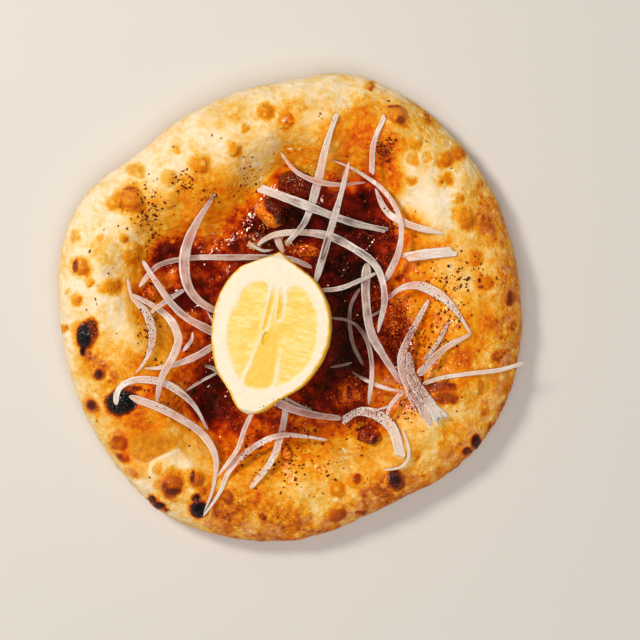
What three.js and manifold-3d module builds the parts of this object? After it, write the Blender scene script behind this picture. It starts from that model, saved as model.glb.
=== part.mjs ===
// A round, puffy-rimmed focaccia with chilli sauce and roasted pieces in its hollow,
// slivers of raw onion strewn over it and half a lemon on top.
// Millimetres, +Z up. The origin is on the underside, at the middle of the bread.
import * as THREE from "three";
import { mergeVertices } from "three/addons/utils/BufferGeometryUtils.js";
import Module from "manifold-3d";

// Radii in plan, anticlockwise from +X at equal angles: the widest line of the bread, and the sauce's edge.
const OUTLINE = [
  119.9, 119.5, 120.7, 122.4, 124.4, 125.1, 118, 114.7, 113.2, 112.5, 120.6, 123,
  119.8, 119.4, 120.1, 122.7, 125.5, 123.3, 120.7, 116, 114.6, 119.2, 121.9, 121.5,
];
const SAUCE_EDGE = [
  60, 59, 65, 72, 76, 66, 72, 67, 55, 53, 66, 75,
  69, 55, 53, 71, 78, 73, 69, 69, 79, 63, 59, 61,
];

// The bread's section, from the floor of its hollow over the rim to the flat underside.
const FLOOR_Z = 7.5;
const SAUCE_EDGE_Z = 10.9;
const CREST_Z = 25.5;
const CREST_AT = 0.5;
const WIDEST_Z = 10;
const BASE_SHARE = 0.91;
const RISE_STEEPNESS = 1.35;
const SIDE_ROUNDNESS = 0.9;

// How finely the bread is cut into triangles.
const SLOPE_RINGS = 8;
const SIDE_RINGS = 9;
const LOWER_RINGS = 3;
const RIM_SPACING = 4.2;
const LOWER_SPACING = 6.5;
const FLOOR_SHARES = [0.1, 0.22, 0.35, 0.48, 0.61, 0.74, 0.87, 1];
const FLOOR_SPACING = 8.5;
const SAUCE_EDGE_STEPS = 84;
const BASE_MIDDLE = 55;
const LEAST_STEPS = 6;

// Swells of the crust: a sum of waves with these lengths, each this high.
const SWELL_COUNT = 7;
const SWELL_LENGTH = 17;
const SWELL_LENGTH_STEP = 5.5;
const SWELL_HEIGHT = 0.34;

// Blisters and dimples of the crust: place, radius, height.
const BLISTERS = [
  [-81, 55, 7.2, 2.6],
  [-90, 54, 3.8, 1.4],
  [-79, 70, 4.2, 0.9],
  [-62, 66, 4.6, 0.9],
  [-61, 55, 4.6, 0.9],
  [-46, 73, 5.2, 1.1],
  [-29, 81, 3.8, 0.8],
  [-12, 100, 4.2, 0.9],
  [-2, 96, 4.6, 0.9],
  [-40, 97, 7.2, 0.9],
  [-107, 21, 4.6, 1.6],
  [-81, 28, 5.2, 0.9],
  [-92, 11, 4.7, 1],
  [-105, -15, 6, 2],
  [-98, -34, 3.8, 1.5],
  [-102, -50, 4.3, 1.4],
  [-87, -48, 7, 2.2],
  [-88, -69, 5.4, 1.4],
  [-87, -75, 4, 1.2],
  [-61, -91, 6.4, 1.8],
  [-48, -88, 4.8, 1.4],
  [-47, -103, 5.4, 1.6],
  [-69, -101, 4.4, 1.4],
  [24, -93, 4.8, 0.9],
  [24, -106, 4.8, 1],
  [55, 99, 5.4, 1.5],
  [64, 85, 4.4, 0.9],
  [80, 76, 4.2, 0.8],
  [90, 46, 6, 1.3],
  [95, 25, 4.2, 0.9],
  [99, 13, 4.4, 1],
  [95, -69, 4.5, 1.2],
  [97, -40, 5, 1],
  [80, -74, 4.4, 0.9],
  [54, -89, 6, 1.8],
  [33, -89, 4.4, 1],
  [89, -75, 4, 1],
  [78, -46, 5.4, -1.2],
  [-75, -66, 16, -2.5],
];

// The largest pepper flakes: patches of crust that carry them (place, spread) and how many lie on each.
const FLAKE_PATCHES = [
  [-73, 42, 9, 8],
  [-57, 66, 9, 7],
  [-46, 61, 5, 3],
  [-24, 72, 6, 4],
  [48, 84, 6, 4],
  [82, 10, 12, 4],
  [-6, -84, 14, 5],
  [-87, -58, 9, 2],
];
const FLAKE_RADIUS = 0.95;
const FLAKE_HEIGHT = 0.8;
const FLAKE_SINK = 0.1;

// The sauce: its level, its lumps, and how thick it is at its edge.
const SAUCE_Z = 11.5;
const SAUCE_SPACING = 4.9;
const SAUCE_EDGE_THICKNESS = 0.7;
const SAUCE_LEAST = 0.5;
const LUMP_HEIGHT = 0.28;

// Roasted pieces that lie in the sauce: place, half sizes along and across, height, turn in degrees.
const ROASTED = [
  [-9.6, 49.6, 8.6, 8.2, 8, 20],
  [3, 64, 13, 7.5, 5, -8],
  [31, -44, 8.6, 8, 6.5, 30],
  [-16, 36, 7.5, 4.8, 4.5, 12],
  [8, 30, 7.6, 4, 4.5, -10],
  [-73, 8, 5.2, 4.6, 3.5, 0],
  [-2, -76, 5, 3.8, 3, 80],
  [41, -66, 7.5, 4.6, 3.5, -15],
];
const ROASTED_SIDES = 11;
const ROASTED_RINGS = 4;
const ROASTED_FOOT = 0.8;
const ROASTED_REACH = 2.6;

// The lemon half: half widths of the whole fruit along its length, from the stalk end to the tip.
const LEMON_PROFILE = [
  [-41.3, 1], [-39.8, 4.4], [-36.3, 8.8], [-32.7, 11.8], [-28.2, 17.2], [-23.6, 22], [-17.7, 25.4],
  [-8.9, 28.7], [0, 30.3], [7.9, 30.2], [15.7, 28.5], [21, 26.4], [25.2, 23.9], [30.7, 19.4],
  [35.7, 10.4], [38.8, 4.6], [40.9, 1],
];
const LEMON_X = -9.6;
const LEMON_Y = -13.4;
const LEMON_TURN = 11.1;
const LEMON_TILT = 8;
const LEMON_BOW = 3.4;
const LEMON_RADIUS = 30.4;
const LEMON_BOTTOM_Z = 8.7;
const LEMON_ABOVE_CORE = 4;
const LEMON_STEPS_UNDER = 12;
const LEMON_STEPS_FACE = 13;
const LEMON_HALF_LENGTH = 41;
const LEMON_GAP = 0.6;
const PULP_DEPTH = 0.9;
const PULP_FROM = -28;
const PULP_TO = 24;
const PULP_SHARE = 0.73;
const CORE_SHARE = -0.04;

// Onion slivers, the lowest first: width at the start, middle and end, then the route in plan.
const SLIVER_THICKNESS = 1.6;
const SLIVER_STATION = 4.9;
const SLIVER_SAMPLE = 0.7;
const SLIVER_STIFFNESS = 0.011;
const SLIVER_TOP_SHARE = 0.7;
const SLIVER_REACH = 1.1;
const SLIVER_MOST_SLOPE = 0.35;
const GAP = 0.35;
const SLIVERS = [
  [1.6, 1.6, 1.3, [-22, 34], [-15, 29.5], [-9, 30]],
  [3, 3.5, 3, [-8, 38], [-6, 33.5], [-3.6, 28.3]],
  [1.6, 1.6, 1.4, [-43.4, -1.8], [-41.5, -5], [-39.5, -9]],
  [2, 2, 1.4, [-44.4, -29.9], [-39.3, -31.9], [-32, -40.5]],
  [1.3, 1.6, 1.2, [-36.5, -33], [-46.9, -38.5], [-54.1, -43.1]],
  [1, 2.2, 2.3, [-50.5, -12.5], [-51, -16.6], [-55.6, -22.7]],
  [4, 3.4, 1.8, [-36.5, -17.5], [-47.9, -24.8], [-58.1, -28.8], [-68.9, -31.1], [-74.5, -30.9]],
  [3, 4, 1.4, [-88.7, -49.8], [-87.7, -42.1], [-81.1, -37.5], [-71.4, -37], [-61.2, -40.1],
    [-49.5, -50.3], [-42.8, -63.5]],
  [4, 3.6, 0.9, [-82.1, -45.2], [-63.2, -52.8], [-45.9, -64.5], [-38.3, -76.3], [-39.3, -91.6], [-44.4, -106]],
  [1.4, 4, 1, [-83.6, 15], [-81.1, 5.3], [-74.5, -1.8], [-70.4, -14.1], [-72.9, -25.3], [-78.5, -33.4]],
  [2.4, 4, 3, [-81.1, 6.9], [-67.8, -0.8], [-60.7, -7.4], [-57.1, -16.6], [-59.7, -24.8],
    [-65.8, -37], [-67.8, -48.5]],
  [2.2, 2.4, 2, [-54.1, 9.4], [-61.2, 4.8], [-67.8, 0.2], [-71.4, -2.8]],
  [2.4, 3, 2.6, [-78, 10.4], [-68.3, 21.6], [-53.6, 25.5], [-30.6, 26], [0, 25.2], [11.2, 20.6]],
  [2.2, 3.6, 4, [-76, 24.2], [-68.9, 13.5], [-61.7, 3.3], [-54.1, -4.4], [-36, -14.6]],
  [2.5, 5, 3.5, [-38.3, 58.4], [-47.9, 43.6], [-54.1, 28.8], [-53, 12.5], [-47.4, 3.8], [-35, -3.6]],
  [1.3, 1.4, 1, [-2.5, -46.7], [4, -50.5], [11.2, -53.3]],
  [3, 3.6, 3, [-2, -46], [-4.1, -62.5], [-9.2, -77.8], [-20.4, -92.6]],
  [1.2, 3.3, 1.5, [-44.4, -106.9], [-35.7, -94.1], [-31.1, -83.4], [-22.9, -74.7],
    [-7.1, -66.1], [5.1, -66.1], [19.4, -68.6]],
  [2.2, 2.4, 1.8, [-17, -49], [-23.5, -62.5], [-26.5, -71.7], [-37.2, -86.5]],
  [4.4, 4, 3, [-10.2, -47.5], [5.1, -53.8], [17.9, -56.4], [26.5, -57.4]],
  [3.6, 5.4, 5, [27, -58.9], [34.7, -53.8], [43.9, -54.9], [52, -61.5], [56.6, -76.3]],
  [1.2, 1.6, 1.2, [57.5, -62], [60.6, -72], [59.6, -79.3], [54.1, -82.4], [47.9, -83.2]],
  [1.2, 1.4, 1.1, [53, -49.8], [48.5, -51.3], [41.8, -53.3]],
  [1.8, 2.2, 1.6, [58.1, -42.6], [51.5, -49.8], [49.5, -55.4]],
  [1.3, 1.6, 1.4, [47.4, -0.8], [44, -3.2], [40.8, -4.9]],
  [1.3, 1.6, 1.3, [20.4, -30.9], [26.5, -29.9], [32.1, -28.3]],
  [1.6, 2, 1.6, [31.6, -32.9], [39.3, -37.5], [50, -41.6], [57.1, -42.6]],
  [1.6, 1.9, 1.7, [36.2, 10.4], [31.1, 0.2], [32.1, -17.6], [37.7, -29.9]],
  [1.2, 2.4, 2.2, [19, -5], [31.6, -7.4], [38.8, -15.6], [41.8, -29.4], [40.3, -49.8]],
  [5, 4.4, 3, [39.8, 23.2], [38.8, 8.9], [41.3, -12.5], [46.9, -23.2], [57.6, -39.6]],
  [1, 1.6, 1.4, [58.1, -39.6], [60.2, -44.7], [64.8, -53.8]],
  [2.2, 2.4, 2.2, [67.8, -39], [77.5, -36], [92.8, -33.7], [108.1, -31.9], [120.4, -28.3]],
  [2.4, 4, 4.4, [71.4, 4.3], [63.8, -10], [57.1, -24.8], [58.1, -35], [66.8, -50.3], [71.9, -60.5]],
  [1.6, 2, 1.8, [81.1, -7.4], [76.5, -16.6], [68.3, -28.8]],
  [4.5, 5.6, 5, [60.7, -22.7], [62.2, -36], [69.9, -47.2], [78.5, -58.9]],
  [1.6, 3.2, 3.8, [92.3, -13.5], [78, -21.7], [65.3, -34.5]],
  [2.2, 2.4, 2, [14, 9], [25.5, 9.9], [35.7, 14], [44.9, 18.1]],
  [2.4, 2.8, 2.6, [48.5, 98.1], [42.8, 83.9], [41.8, 68.6]],
  [3, 3.4, 2.8, [43.9, 61.9], [50.5, 48.7], [63.8, 41.5], [78.5, 38]],
  [4.8, 5.4, 4.6, [58.7, 25.7], [68.9, 27.3], [84.2, 28.8]],
  [1, 2.6, 3.4, [20.9, 76.2], [34.7, 70.1], [47.4, 60.9], [56.1, 46.1], [56.1, 30.3], [49, 13.5]],
  [2, 4.6, 1.3, [49, 3.3], [56.1, 9.4], [65.3, 11.4], [78, 5.3], [84.7, -1.8], [92.3, -13.5]],
  [3, 4.2, 2.5, [-17.3, 31.8], [-10.2, 36.9], [5.1, 39], [20.4, 36.9], [32.6, 30.8],
    [44.4, 21.1], [48.5, 6.3], [44.9, -13]],
  [2.4, 4.4, 2.4, [24, 99.2], [18.4, 82.3], [14.3, 65], [7.1, 43.6], [-2.5, 32.4]],
  [4.8, 4.4, 3, [-16.3, 61.9], [0, 55.8], [19.4, 48.2], [33.7, 43.6], [50, 40]],
  [1.4, 2.8, 1, [-5.1, 79.8], [2.6, 70.1], [12.2, 65], [23.5, 63], [38.8, 64.5]],
  [2.2, 3.4, 3.8, [30.1, 74.7], [26, 57.9], [20.9, 40.5], [12.8, 12.6]],
];

function finish(color, roughness) {
  return new THREE.MeshStandardMaterial({ color, roughness, metalness: 0, flatShading: true });
}

const CRUST = finish(0xe8c98a, 0.75);
const SAUCE = finish(0x7a1606, 0.18);
const ROAST = finish(0xa8380a, 0.35);
const ONION = finish(0xe6cfc2, 0.4);
const LEMON = finish(0xf6dc8c, 0.45);

const wasm = await Module();
wasm.setup();

const TURN = 2 * Math.PI;
const radians = THREE.MathUtils.degToRad;
const clamp = THREE.MathUtils.clamp;
const mix = THREE.MathUtils.lerp;
const smooth = THREE.MathUtils.smoothstep;

let seed = 20;
function random() {
  seed = (seed * 16807) % 2147483647;
  return seed / 2147483647;
}

// A value at any angle, on a smooth closed curve through values set at equal angles.
function around(values, angle) {
  const count = values.length;
  const place = (((angle / TURN) % 1) + 1) % 1 * count;
  const first = Math.floor(place);
  const t = place - first;
  const [a, b, c, d] = [-1, 0, 1, 2].map((step) => values[(first + step + count) % count]);
  return b + 0.5 * t * (c - a + t * (2 * a - 5 * b + 4 * c - d + t * (3 * (b - c) + d - a)));
}

// A closed body from rings of points, from one end to the other. Neighbouring rings may differ in
// their number of points, which go round at equal steps from the same direction.
function body(rings) {
  const points = [];
  const faces = [];
  const starts = rings.map((ring) => {
    points.push(...ring);
    return points.length - ring.length;
  });
  for (let k = 0; k + 1 < rings.length; k++) {
    const counts = [rings[k].length, rings[k + 1].length];
    let [i, j] = [0, 0];
    while (i < counts[0] || j < counts[1]) {
      const here = starts[k] + (i % counts[0]);
      const there = starts[k + 1] + (j % counts[1]);
      if (j === counts[1] || (i < counts[0] && (i + 1) / counts[0] < (j + 1) / counts[1])) {
        i++;
        faces.push([here, there, starts[k] + (i % counts[0])]);
      } else {
        j++;
        faces.push([here, there, starts[k + 1] + (j % counts[1])]);
      }
    }
  }
  const last = starts[rings.length - 1];
  for (let i = 1; i + 1 < rings[0].length; i++) faces.push([0, i, i + 1]);
  for (let i = 1; i + 1 < points.length - last; i++) faces.push([last, last + i + 1, last + i]);
  const geometry = new THREE.BufferGeometry();
  geometry.setAttribute("position", new THREE.Float32BufferAttribute(points.flat(), 3));
  geometry.setIndex(faces.flat());
  return geometry;
}

function ringOf(count, place) {
  return Array.from({ length: count }, (_, i) => place((i / count) * TURN));
}

function mean(values) {
  return values.reduce((sum, value) => sum + value, 0) / values.length;
}

// How many points go round a ring of this radius.
function steps(radius, spacing) {
  return Math.max(LEAST_STEPS, Math.round((radius * TURN) / spacing));
}

function swell(x, y) {
  let z = 0;
  for (let i = 0; i < SWELL_COUNT; i++) {
    const heading = 2.4 * i;
    const wave = TURN / (SWELL_LENGTH + SWELL_LENGTH_STEP * i);
    z += SWELL_HEIGHT * Math.sin(wave * (x * Math.cos(heading) + y * Math.sin(heading)) + 1.7 * i);
  }
  return z;
}

function blisters(x, y) {
  let z = 0;
  for (const [bx, by, radius, height] of BLISTERS) {
    const share = ((x - bx) ** 2 + (y - by) ** 2) / radius ** 2;
    if (share < 1) z += height * (1 - share) ** 1.5;
  }
  return z;
}

function crestHeight(angle) {
  return CREST_Z + 1.6 * Math.cos(angle - 2.4) + 0.9 * Math.cos(3 * angle + 1);
}

function at(angle, radius, z) {
  return [radius * Math.cos(angle), radius * Math.sin(angle), z];
}

// The hollow's floor, from its middle (0) to the sauce's edge (1).
function floorPoint(angle, share) {
  const z = mix(FLOOR_Z, SAUCE_EDGE_Z, share ** 3);
  return at(angle, around(SAUCE_EDGE, angle) * share, z);
}

function crestRadius(angle) {
  return mix(around(SAUCE_EDGE, angle), around(OUTLINE, angle), CREST_AT);
}

// The rim's inner slope, from the sauce's edge (0) to the crest (1).
function slopePoint(angle, share) {
  const radius = mix(around(SAUCE_EDGE, angle), crestRadius(angle), share);
  const rise = Math.sin((share * Math.PI) / 2) ** RISE_STEEPNESS;
  const [x, y] = at(angle, radius);
  const relief = (swell(x, y) + blisters(x, y)) * smooth(share, 0, 0.35);
  return [x, y, mix(SAUCE_EDGE_Z, crestHeight(angle), rise) + relief];
}

// The rim's outer side, from the crest (0) to its widest line (1).
function sidePoint(angle, share) {
  const lean = (share * Math.PI) / 2;
  const radius = mix(crestRadius(angle), around(OUTLINE, angle), Math.sin(lean));
  const [x, y] = at(angle, radius);
  const relief = (swell(x, y) + blisters(x, y)) * Math.cos(lean) ** 0.5;
  return [x, y, mix(WIDEST_Z, crestHeight(angle), Math.cos(lean) ** SIDE_ROUNDNESS) + relief];
}

// The rounded lower edge, from the widest line (0) to the flat underside (1).
function underPoint(angle, share) {
  const lean = (share * Math.PI) / 2;
  const widest = around(OUTLINE, angle);
  const radius = mix(widest * BASE_SHARE, widest, Math.cos(lean));
  return at(angle, radius, WIDEST_Z * (1 - Math.sin(lean)));
}

const sauceMean = mean(SAUCE_EDGE);
const outlineMean = mean(OUTLINE);
const crestMean = mix(sauceMean, outlineMean, CREST_AT);

function floorRings(lift) {
  return FLOOR_SHARES.map((share) => {
    const count = share === 1 ? SAUCE_EDGE_STEPS : steps(share * sauceMean, FLOOR_SPACING);
    return ringOf(count, (angle) => {
      const [x, y, z] = floorPoint(angle, share);
      return [x, y, z + lift];
    });
  });
}

function breadBody() {
  const rings = floorRings(0);
  const stretch = (count, point, from, to, spacing) => {
    for (let i = 1; i <= count; i++) {
      const share = i / count;
      rings.push(ringOf(steps(mix(from, to, share), spacing), (angle) => point(angle, share)));
    }
  };
  stretch(SLOPE_RINGS, slopePoint, sauceMean, crestMean, RIM_SPACING);
  stretch(SIDE_RINGS, sidePoint, crestMean, outlineMean, RIM_SPACING);
  stretch(LOWER_RINGS, underPoint, outlineMean, outlineMean * BASE_SHARE, LOWER_SPACING);
  rings.push(ringOf(steps(BASE_MIDDLE, 2 * LOWER_SPACING), (angle) => at(angle, BASE_MIDDLE, 0)));
  return body(rings);
}

function solid(geometry) {
  const merged = mergeVertices(geometry, 1e-4);
  return new wasm.Manifold(
    new wasm.Mesh({
      numProp: 3,
      vertProperties: merged.attributes.position.array,
      triVerts: new Uint32Array(merged.index.array),
    }),
  );
}

function geometryOf(manifold) {
  const mesh = manifold.getMesh();
  const geometry = new THREE.BufferGeometry();
  geometry.setAttribute("position", new THREE.BufferAttribute(mesh.vertProperties, 3));
  geometry.setIndex(new THREE.BufferAttribute(mesh.triVerts, 1));
  return geometry;
}

// The height of what has been laid so far, on a grid of 1 mm.
const REACH = 130;
const SIDE = 2 * REACH + 1;
const ground = new Float32Array(SIDE * SIDE);

function lay(geometry) {
  const place = geometry.attributes.position;
  const index = geometry.index.array;
  const corners = [new THREE.Vector3(), new THREE.Vector3(), new THREE.Vector3()];
  for (let f = 0; f < index.length; f += 3) {
    corners.forEach((corner, k) => corner.fromBufferAttribute(place, index[f + k]));
    const [a, b, c] = corners;
    const area = (b.x - a.x) * (c.y - a.y) - (c.x - a.x) * (b.y - a.y);
    if (area < 1e-6) continue;
    const fromX = Math.ceil(Math.min(a.x, b.x, c.x));
    const toX = Math.floor(Math.max(a.x, b.x, c.x));
    const fromY = Math.ceil(Math.min(a.y, b.y, c.y));
    const toY = Math.floor(Math.max(a.y, b.y, c.y));
    for (let x = fromX; x <= toX; x++)
      for (let y = fromY; y <= toY; y++) {
        const v = ((x - a.x) * (c.y - a.y) - (c.x - a.x) * (y - a.y)) / area;
        const w = ((b.x - a.x) * (y - a.y) - (x - a.x) * (b.y - a.y)) / area;
        if (v < 0 || w < 0 || v + w > 1) continue;
        const cell = (x + REACH) * SIDE + y + REACH;
        ground[cell] = Math.max(ground[cell], a.z + v * (b.z - a.z) + w * (c.z - a.z));
      }
  }
}

function highest(x, y, radius) {
  let z = 0;
  for (let i = Math.ceil(x - radius); i <= x + radius; i++)
    for (let j = Math.ceil(y - radius); j <= y + radius; j++)
      if ((i - x) ** 2 + (j - y) ** 2 <= radius ** 2)
        z = Math.max(z, ground[(i + REACH) * SIDE + j + REACH] ?? 0);
  return z;
}

// A flake is a small eight-sided grain, sunk by half into the crust.
function flakes(bread) {
  let joined = bread;
  for (const [px, py, spread, count] of FLAKE_PATCHES)
    for (let i = 0; i < count; i++) {
      const angle = TURN * random();
      const away = spread * Math.sqrt(random());
      const radius = FLAKE_RADIUS * mix(0.8, 1.3, random());
      const flake = new THREE.OctahedronGeometry(radius);
      flake.deleteAttribute("normal");
      flake.deleteAttribute("uv");
      flake.scale(1, mix(0.6, 1, random()), FLAKE_HEIGHT / radius);
      flake.rotateZ(TURN * random());
      const x = px + away * Math.cos(angle);
      const y = py + away * Math.sin(angle);
      flake.translate(x, y, highest(x, y, 1) - FLAKE_SINK);
      joined = joined.add(solid(flake));
    }
  return joined;
}

function mesh(name, geometry, material) {
  const piece = new THREE.Mesh(geometry, material);
  piece.name = name;
  geometry.computeVertexNormals();
  return piece;
}

// The lemon's half width and sideways bow at a place along its length.
function lemonHalfWidth(place) {
  const last = LEMON_PROFILE.length - 1;
  const k = clamp(LEMON_PROFILE.findIndex(([t]) => t > place), 1, last) - 1;
  const [t0, w0] = LEMON_PROFILE[k];
  const [t1, w1] = LEMON_PROFILE[k + 1];
  return mix(w0, w1, clamp((place - t0) / (t1 - t0), 0, 1));
}

function lemonBow(place) {
  return -LEMON_BOW * (place / LEMON_HALF_LENGTH) ** 2;
}

// The underside of the lemon above a point in plan, or nothing where it doesn't reach.
function lemonUnderside(x, y) {
  const turn = radians(LEMON_TURN);
  const [dx, dy] = [x - LEMON_X, y - LEMON_Y];
  const place = dx * Math.sin(turn) + dy * Math.cos(turn);
  const across = dx * Math.cos(turn) - dy * Math.sin(turn) - lemonBow(place);
  const half = lemonHalfWidth(place);
  if (Math.abs(place) > LEMON_HALF_LENGTH || Math.abs(across) >= half) return Infinity;
  return LEMON_BOTTOM_Z + LEMON_RADIUS - Math.sqrt(half ** 2 - across ** 2);
}

// How deep the pulp lies under the pith at a point of the cut face, with a rib of pith down the core.
function pulpDepth(place, share) {
  const inLength = smooth(place, PULP_FROM, PULP_FROM + 6) * (1 - smooth(place, PULP_TO - 5, PULP_TO));
  const inWidth = 1 - smooth(Math.abs(share), PULP_SHARE - 0.05, PULP_SHARE + 0.05);
  const rib = smooth(Math.abs(share - CORE_SHARE), 0.02, 0.08);
  return PULP_DEPTH * inLength * inWidth * mix(0.4, 1, rib);
}

// The half fruit, cut a little above its core: each ring goes round the rind and back over the cut face.
function lemonBody() {
  const tilt = radians(LEMON_TILT);
  const rings = LEMON_PROFILE.map(([place, half], k) => {
    const atEnd = k < 2 || k > LEMON_PROFILE.length - 3;
    const lift = Math.min(LEMON_ABOVE_CORE, half * 0.6);
    const edge = Math.asin(lift / half);
    const ring = [];
    for (let i = 0; i <= LEMON_STEPS_UNDER; i++) {
      const angle = mix(edge, -Math.PI - edge, i / LEMON_STEPS_UNDER) + tilt;
      ring.push([half * Math.cos(angle), half * Math.sin(angle)]);
    }
    for (let i = 1; i < LEMON_STEPS_FACE; i++) {
      const share = mix(-1, 1, i / LEMON_STEPS_FACE);
      const across = share * half * Math.cos(edge);
      const up = lift - (atEnd ? 0 : pulpDepth(place, share));
      ring.push([
        across * Math.cos(tilt) - up * Math.sin(tilt),
        across * Math.sin(tilt) + up * Math.cos(tilt),
      ]);
    }
    return ring.reverse().map(([across, up]) => [across + lemonBow(place), place, up]);
  });
  const geometry = body(rings);
  geometry.rotateZ(-radians(LEMON_TURN));
  geometry.translate(LEMON_X, LEMON_Y, LEMON_BOTTOM_Z + LEMON_RADIUS);
  return geometry;
}

// The sauce's top at a place from the middle (0) to the edge (1): lumpy, pressed down by the lemon.
function sauceTop(angle, share) {
  const [x, y, z] = floorPoint(angle, share);
  const under = z + GAP;
  if (share === 1) return [x, y, under + SAUCE_EDGE_THICKNESS];
  const lumps = LUMP_HEIGHT * (Math.sin(0.42 * x + 1) * Math.sin(0.39 * y) + Math.sin(0.27 * (x + y)));
  const level = Math.max(SAUCE_Z, under + SAUCE_EDGE_THICKNESS) + lumps * smooth(1 - share, 0, 0.15);
  return [x, y, Math.max(under + SAUCE_LEAST, Math.min(level, lemonUnderside(x, y) - LEMON_GAP))];
}

function sauceBody() {
  const count = Math.round(sauceMean / SAUCE_SPACING);
  const rings = [];
  for (let i = 1; i <= count; i++) {
    const share = i / count;
    const round = share === 1 ? SAUCE_EDGE_STEPS : steps(share * sauceMean, SAUCE_SPACING);
    rings.push(ringOf(round, (angle) => sauceTop(angle, share)));
  }
  rings.push(...floorRings(GAP).reverse());
  return body(rings);
}

// A roasted piece: a lumpy dome whose underside follows what it lies on.
function roastedBody([x, y, length, width, height, turn], k) {
  const spin = radians(turn);
  const spot = (angle, share) => {
    const lumpy = share * (1 + 0.12 * Math.sin(3 * angle + 2 * k) + 0.08 * Math.sin(5 * angle + k));
    const [a, b] = [length * lumpy * Math.cos(angle), width * lumpy * Math.sin(angle)];
    return [x + a * Math.cos(spin) - b * Math.sin(spin), y + a * Math.sin(spin) + b * Math.cos(spin)];
  };
  const rest = highest(x, y, width * 0.7);
  const rings = [];
  for (let i = 1; i <= ROASTED_RINGS; i++) {
    const share = i / ROASTED_RINGS;
    const dome = Math.cos((share * Math.PI) / 2) ** 0.6;
    rings.push(
      ringOf(i === 1 ? LEAST_STEPS : ROASTED_SIDES, (angle) => {
        const [px, py] = spot(angle, share);
        const knobs = 1 + 0.14 * Math.sin(2.1 * px + k) * Math.sin(1.9 * py);
        const foot = highest(px, py, ROASTED_REACH) + GAP + ROASTED_FOOT;
        return [px, py, Math.max(foot, mix(foot, rest + height * knobs, dome))];
      }),
    );
  }
  const underside = (angle, share) => {
    const [px, py] = spot(angle, share);
    return [px, py, highest(px, py, ROASTED_REACH) + GAP];
  };
  rings.push(ringOf(ROASTED_SIDES, (angle) => underside(angle, 0.96)));
  rings.push(ringOf(LEAST_STEPS, (angle) => underside(angle, 0.4)));
  return body(rings);
}

// A value at a share of the way along a list of stations.
function along(list, share, key) {
  const place = clamp(share, 0, 1) * (list.length - 1);
  const k = Math.min(Math.floor(place), list.length - 2);
  return mix(list[k][key], list[k + 1][key], place - k);
}

// A sliver's line over what lies below it: it rests on the highest points and bridges the rest.
function drape(curve, width) {
  const length = curve.getLength();
  const count = Math.ceil(length / SLIVER_SAMPLE);
  const line = curve.getSpacedPoints(count).map((point, i) => {
    const tangent = curve.getTangentAt(i / count);
    const half = width(i / count) / 2;
    const side = { x: -tangent.y * half, y: tangent.x * half };
    const reach = Math.max(SLIVER_REACH, half * SLIVER_TOP_SHARE);
    const left = highest(point.x + side.x, point.y + side.y, reach);
    const right = highest(point.x - side.x, point.y - side.y, reach);
    return { x: point.x, y: point.y, side, half, left, right, middle: highest(point.x, point.y, reach) };
  });
  const near = Math.round(6 / SLIVER_SAMPLE);
  line.forEach((station, i) => {
    const part = line.slice(Math.max(0, i - near), i + near + 1);
    const slope = part.reduce((sum, s) => sum + (s.left - s.right) / (2 * s.half + 1), 0) / part.length;
    station.slope = clamp(slope, -SLIVER_MOST_SLOPE, SLIVER_MOST_SLOPE) * smooth(station.half, 0.6, 1.6);
    const shift = station.slope * station.half;
    station.need = Math.max(station.left - shift, station.right + shift, station.middle) + GAP;
  });
  line.forEach((station, i) => {
    const over = line.map((s, j) => s.need - SLIVER_STIFFNESS * (SLIVER_SAMPLE * (i - j)) ** 2);
    station.z = Math.max(...over);
  });
  return line;
}

// A sliver of onion: a strip of four-cornered sections with a narrower top.
function sliverBody([start, middle, end, ...route]) {
  const points = route.map(([x, y]) => new THREE.Vector3(x, y, 0));
  const curve = new THREE.CatmullRomCurve3(points, false, "centripetal");
  const width = (share) => {
    if (share < 0.5) return mix(start, middle, smooth(share, 0, 0.5));
    return mix(middle, end, smooth(share, 0.5, 1));
  };
  const line = drape(curve, width);
  const sides = line.map((station) => station.side);
  const stations = Math.max(3, Math.round(curve.getLength() / SLIVER_STATION));
  const rings = [];
  for (let i = 0; i <= stations; i++) {
    const share = i / stations;
    const taper = i === 0 || i === stations ? 0.55 : 1;
    const [x, y, z, slope] = ["x", "y", "z", "slope"].map((key) => along(line, share, key));
    const [sx, sy] = [along(sides, share, "x") * taper, along(sides, share, "y") * taper];
    const rise = slope * Math.hypot(sx, sy);
    const high = SLIVER_THICKNESS * mix(0.6, 1, taper);
    const corner = (side, up) => [x + sx * side, y + sy * side, z + rise * side + up];
    rings.push([
      corner(-1, 0),
      corner(-SLIVER_TOP_SHARE, high),
      corner(SLIVER_TOP_SHARE, high),
      corner(1, 0),
    ]);
  }
  return body(rings);
}

const group = new THREE.Group();

lay(breadBody());
const bread = geometryOf(flakes(solid(breadBody())));
group.add(mesh("bread", bread, CRUST));
lay(bread);

const sauce = sauceBody();
group.add(mesh("sauce", sauce, SAUCE));
lay(sauce);

ROASTED.forEach((piece, k) => {
  const geometry = roastedBody(piece, k);
  group.add(mesh("roasted_" + (k + 1), geometry, ROAST));
  lay(geometry);
});

SLIVERS.forEach((sliver, k) => {
  const geometry = sliverBody(sliver);
  group.add(mesh("onion_" + String(k + 1).padStart(2, "0"), geometry, ONION));
  lay(geometry);
});

group.add(mesh("lemon_half", lemonBody(), LEMON));

export default group;
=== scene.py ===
# A round focaccia: a puffy blistered rim, chilli sauce and roasted pieces in its hollow,
# slivers of raw onion strewn over it, coarse pepper, and half a lemon on top.
# The functions work in millimetres, +Z up; build() writes each mesh in metres.
import itertools
import math
import random

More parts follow.
